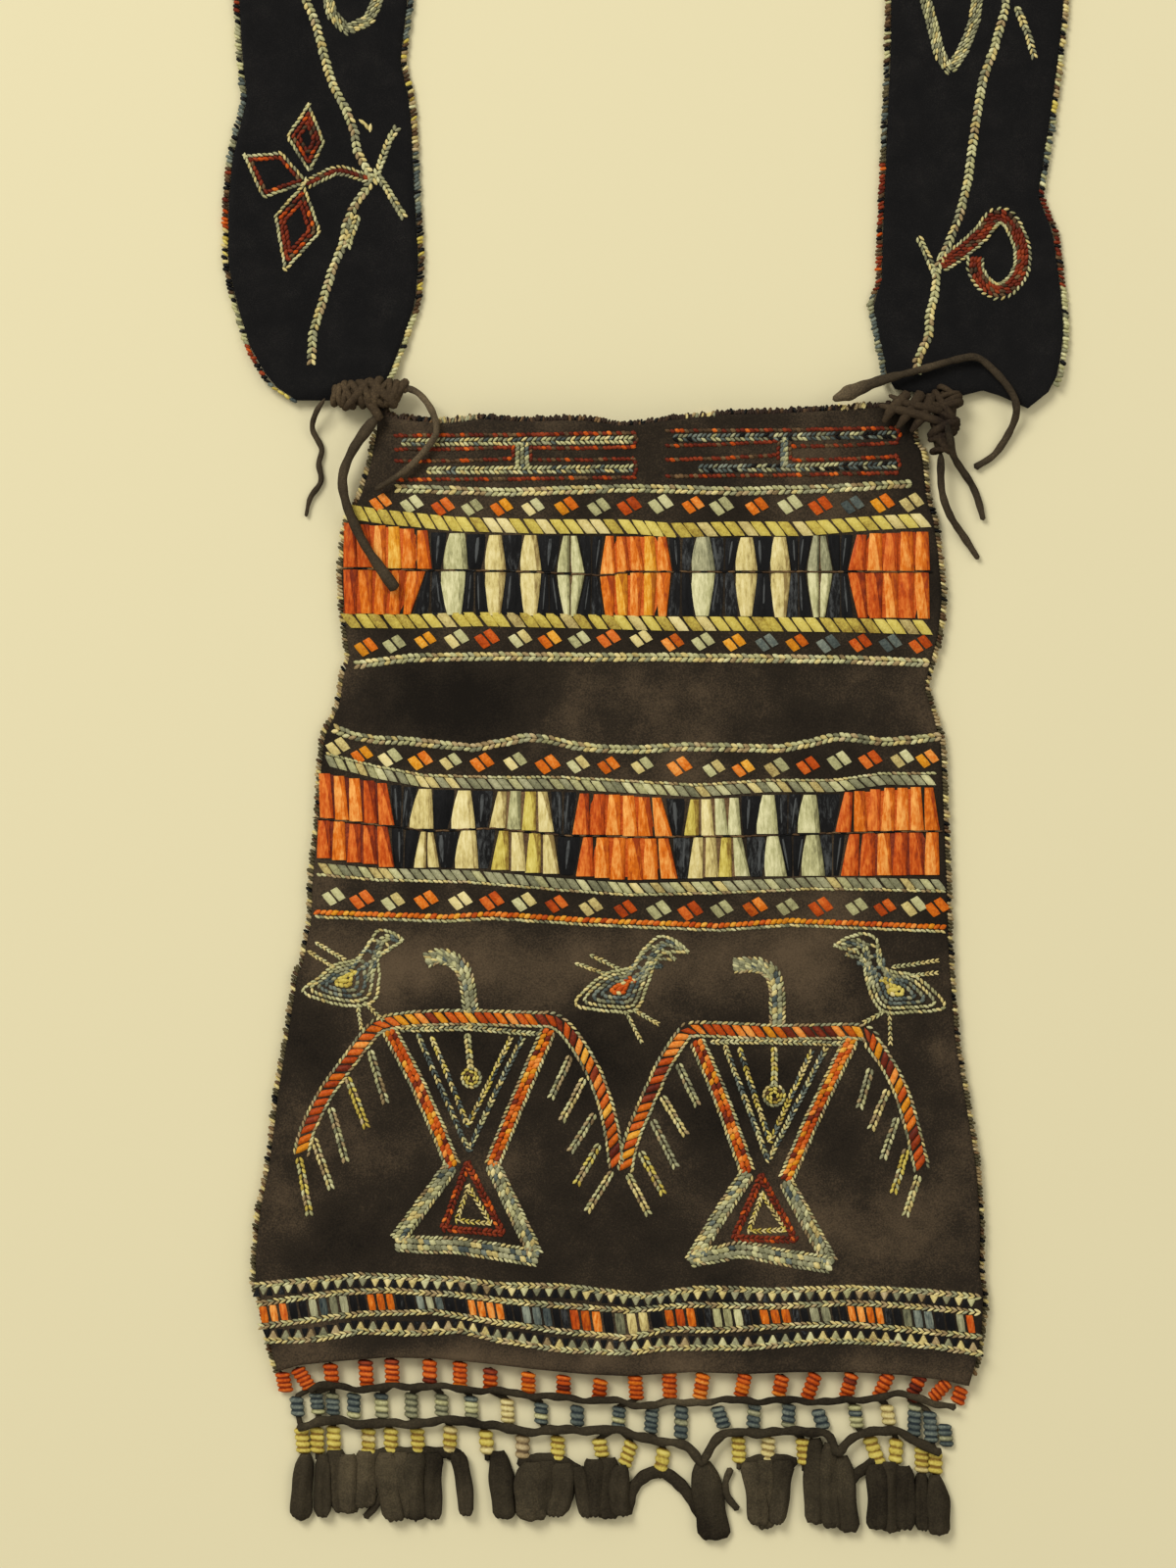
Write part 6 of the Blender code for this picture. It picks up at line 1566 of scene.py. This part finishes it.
def fringe_wraps():
    """The three rows of quill wrapping, each wrap a coil whose grooves between its turns are darkened with painted
    shade.
    """
    corners, faces, which, tints = [], [], [], []
    for (x1, y1, x2, y2), paints, half, pitch in painted_wraps():
        start, one = len(corners), pick(paints)
        turns = max(3, round(math.hypot(x2 - x1, y2 - y1) / pitch))
        count = turns * TURN_RINGS + 1
        across_it = np.array((y2 - y1, x1 - x2), float) / math.hypot(x2 - x1, y2 - y1)
        for i in range(count):
            t, groove = i / (count - 1), i % TURN_RINGS == 0
            size = half * (0.80 if groove else 1.0) * (0.8 if i in (0, count - 1) else 1.0) * rng.uniform(0.97, 1.03)
            # Painted shade: the groove rings get a low tint, which darkens the paint between the turns.
            tint = rng.uniform(-1.4, -0.6) if groove else rng.uniform(0.3, 1.0)
            for k in range(WRAP_SIDES):
                turn = 2 * math.pi * k / WRAP_SIDES
                slip = 0.9 * math.cos(turn) / (y2 - y1)
                middle = np.array((x1, y1)) + (np.array((x2, y2)) - (x1, y1)) * (t + slip)
                x, y = middle + across_it * size * math.cos(turn)
                corners.append(place(x, y, drop(y) + WRAP_MIDDLE + size / half * WRAP_RISE * math.sin(turn)))
                tints.append(tint)
        for i in range(count - 1):
            if i % TURN_RINGS == 0:
                colour = WRAP_PAINTS.index(one if rng.random() < 0.62 else pick(paints))
            which += [colour] * WRAP_SIDES
        faces += [tuple(start + i for i in cell) for cell in walls(count, WRAP_SIDES)]
        last = start + (count - 1) * WRAP_SIDES
        faces += [tuple(range(start + WRAP_SIDES - 1, start - 1, -1)), tuple(range(last, last + WRAP_SIDES))]
        which += [colour] * 2
    piece = make("fringe_wraps", corners, outward(corners, faces), WRAP_PAINTS, which, tints)
    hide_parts("fringe")


def cross_thongs():
    """The two thongs that run across the fringe between the rows of wraps."""
    for name, line, radius, jog in (("cross_thong_upper", THONG_1, 0.00105, 1.4),
                                    ("cross_thong_lower", THONG_2, 0.00135, 1.0)):
        path = smooth_steps(line, 4.0)
        path[:, 1] += jog * np.sin(path[:, 0] / 9.3) + 0.6 * np.sin(path[:, 0] / 4.1 + 1)
        z = [drop(y) + CROSS_LIFT + radius * 0.8 + 0.0002 * math.sin(x / 6.4) for x, y in path]
        shape, cells_of = tube(place(path[:, 0], path[:, 1], z), radius, 10, 0.75, 0.20)
        piece = make(name + "_look", shape, outward(shape, cells_of), ["tail"])
        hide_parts(name)


def nearest(wraps, x):
    """The wrap whose top is nearest to x."""
    return min(wraps, key=lambda row: abs(row[0] - x))


def fringe_thongs():
    """The thongs inside the wraps, from the seam to the tails, and the ones that curl out between the tails."""
    heap = Heap()
    for low in YELLOW_WRAPS:
        mid = nearest(BLUE_WRAPS, low[0])
        high = nearest(RED_WRAPS, mid[0])
        path = even_steps((high[:2], high[2:], mid[:2], mid[2:], low[:2], low[2:], (low[2], low[3] + 6)), 5.0)
        z = [drop(y) + 0.0008 for _, y in path]
        heap.add(*tube(place(path[:, 0], path[:, 1], z), 0.00085, 6, 0.8, 0.05))
    for wide, line in CURLS:
        path = smooth_steps(line, 3.0)
        z = np.full(len(path), 0.0013)
        heap.add(*tube(place(path[:, 0], path[:, 1], z), wide * GRID, 8, 0.45, 0.10))
    piece = make("fringe_thongs", heap.points, heap.faces, ["tail"])
    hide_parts("fringe")


def fringe_tails():
    """The broad cut tails at the end of the fringe, each with a tint of its own."""
    heap, tints = Heap(), []
    for n, row in enumerate(TAILS):
        shape, cells_of = tail(*row, n)
        heap.add(shape, cells_of)
        tints += [rng.uniform(0.0, 0.9)] * len(shape)
    piece = make("fringe_tails", heap.points, heap.faces, ["tail"], tint=tints)
    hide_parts("fringe")


def tail(start, end, wide_top, wide_end, n):
    """One broad tail of cut hide, curling a little, with a ragged end."""
    layer = 0.0008 * (n % 2) + 0.0002
    top, low = [], []
    curl, sway = rng.uniform(-1, 1), rng.uniform(-3.6, 3.6)
    ragged = [rng.uniform(-1.4, 1.0) for _ in range(TAIL_COLUMNS)]
    for i in range(TAIL_ROWS):
        t = i / (TAIL_ROWS - 1)
        x = start[0] + (end[0] - start[0]) * t + sway * math.sin(t * 3.1)
        y = start[1] + (end[1] - start[1]) * t
        half = (wide_top + (wide_end - wide_top) * float(blend_step(t * 2.2))) / 2
        half *= (0.60 + 0.40 * min(1.0, t * 7) ** 0.6) * math.sqrt(1 - 0.45 * max(0.0, (t - 0.86) / 0.14) ** 3)
        half *= 1 + 0.06 * math.sin(t * 9 + n)
        for k in range(TAIL_COLUMNS):
            s = k / (TAIL_COLUMNS - 1) * 2 - 1
            fold = 0.0004 * math.sin(s * 5.2 + n * 1.7 + t * 2) + 0.0004 * math.sin(t * 4.0 + n)
            crown = 0.0019 * math.sqrt(1 - 0.96 * s * s)
            z = layer + 0.0004 + crown + fold * float(blend_step(t * 3)) + 0.0003 * curl * s
            hem = (ragged[k] + 1.2 * (1 - s * s)) * t**6
            top.append(place(x + s * half, y + hem, max(z, 0.0004) + 0.0007))
            low.append(place(x + s * half, y + hem, max(z - 0.0005, 0.0001)))
    return np.array(top + low), sheet_faces(TAIL_ROWS, TAIL_COLUMNS)


def pale_floor():
    """A plain pale floor, just under the pouch."""
    bpy.ops.mesh.primitive_plane_add(size=6.0, location=(0.0, 0.1, -0.0002))
    floor = bpy.context.object
    floor.name = "floor"
    paint = bpy.data.materials.new("pale_floor")
    paint.use_nodes = True
    shader = paint.node_tree.nodes["Principled BSDF"]
    shader.inputs["Base Color"].default_value = (*linear(FLOOR_COLOUR), 1.0)
    shader.inputs["Roughness"].default_value = 0.9
    shader.inputs["Specular IOR Level"].default_value = 0.2
    floor.data.materials.append(paint)


def lights():
    """Soft light from all round, and two lamps over the strap."""
    world = bpy.data.worlds.new("studio")
    bpy.context.scene.world = world
    world.use_nodes = True
    world.node_tree.nodes["Background"].inputs["Color"].default_value = (1.0, 0.97, 0.92, 1.0)
    world.node_tree.nodes["Background"].inputs["Strength"].default_value = ROOM_LIGHT
    for spot, energy, size in LAMPS:
        data = bpy.data.lights.new("lamp", "AREA")
        data.energy, data.size = energy, size
        lamp = bpy.data.objects.new("lamp", data)
        bpy.context.scene.collection.objects.link(lamp)
        lamp.location = spot
        lamp.rotation_euler = (Vector((0, 0.05, 0)) - Vector(spot)).to_track_quat("-Z", "Y").to_euler()


straight_down_camera()
ties()
panels()
both_key_bars()
bands()
diamonds()
spread_bird("bird_left", LEFT_BIRD)
spread_bird("bird_right", RIGHT_BIRD)
small_birds()
border()
side_seams()
mouth_seams()
strap_cloth()
strap_edges()
vines()
knot("knot_left", (374.0, 402.0, 5.8), 0.06, (10.6, 3.9, 2.9), 14, (
    (1.5, ((366, 398, 7.2), (372, 406, 7.4), (379, 414, 7.2), (384, 421, 7.0), (387, 428, 6.8))),
    (1.1, ((396, 398, 7.0), (403, 394, 7.2), (409, 395, 7.0), (415, 399, 6.8))),
))
knot("knot_right", (964.1, 428.0, 5.6), 1.45, (10.4, 3.8, 2.8), 13, (
    (1.2, ((940, 408, 7.0), (950, 412, 7.6), (958, 419, 7.6), (964, 428, 7.2))),
    (1.5, ((902, 430, 6.6), (908, 420, 7.2), (917, 411, 7.4), (926, 402, 7.0))),
    (1.6, ((916, 436, 6.8), (924, 425, 7.4), (932, 413, 7.6), (940, 402, 7.2))),
    (1.5, ((930, 440, 6.8), (939, 428, 7.4), (946, 416, 7.8), (950, 404, 7.2))),
    (1.3, ((898, 414, 6.8), (918, 419, 7.9), (938, 424, 8.2), (956, 430, 8.0), (966, 434, 7.4))),
    (1.2, ((908, 404, 6.8), (924, 412, 7.9), (942, 416, 8.4), (960, 420, 8.0))),
))
fringe_wraps()
cross_thongs()
fringe_thongs()
fringe_tails()
pale_floor()
lights()

bpy.context.scene.view_settings.view_transform = "Standard"
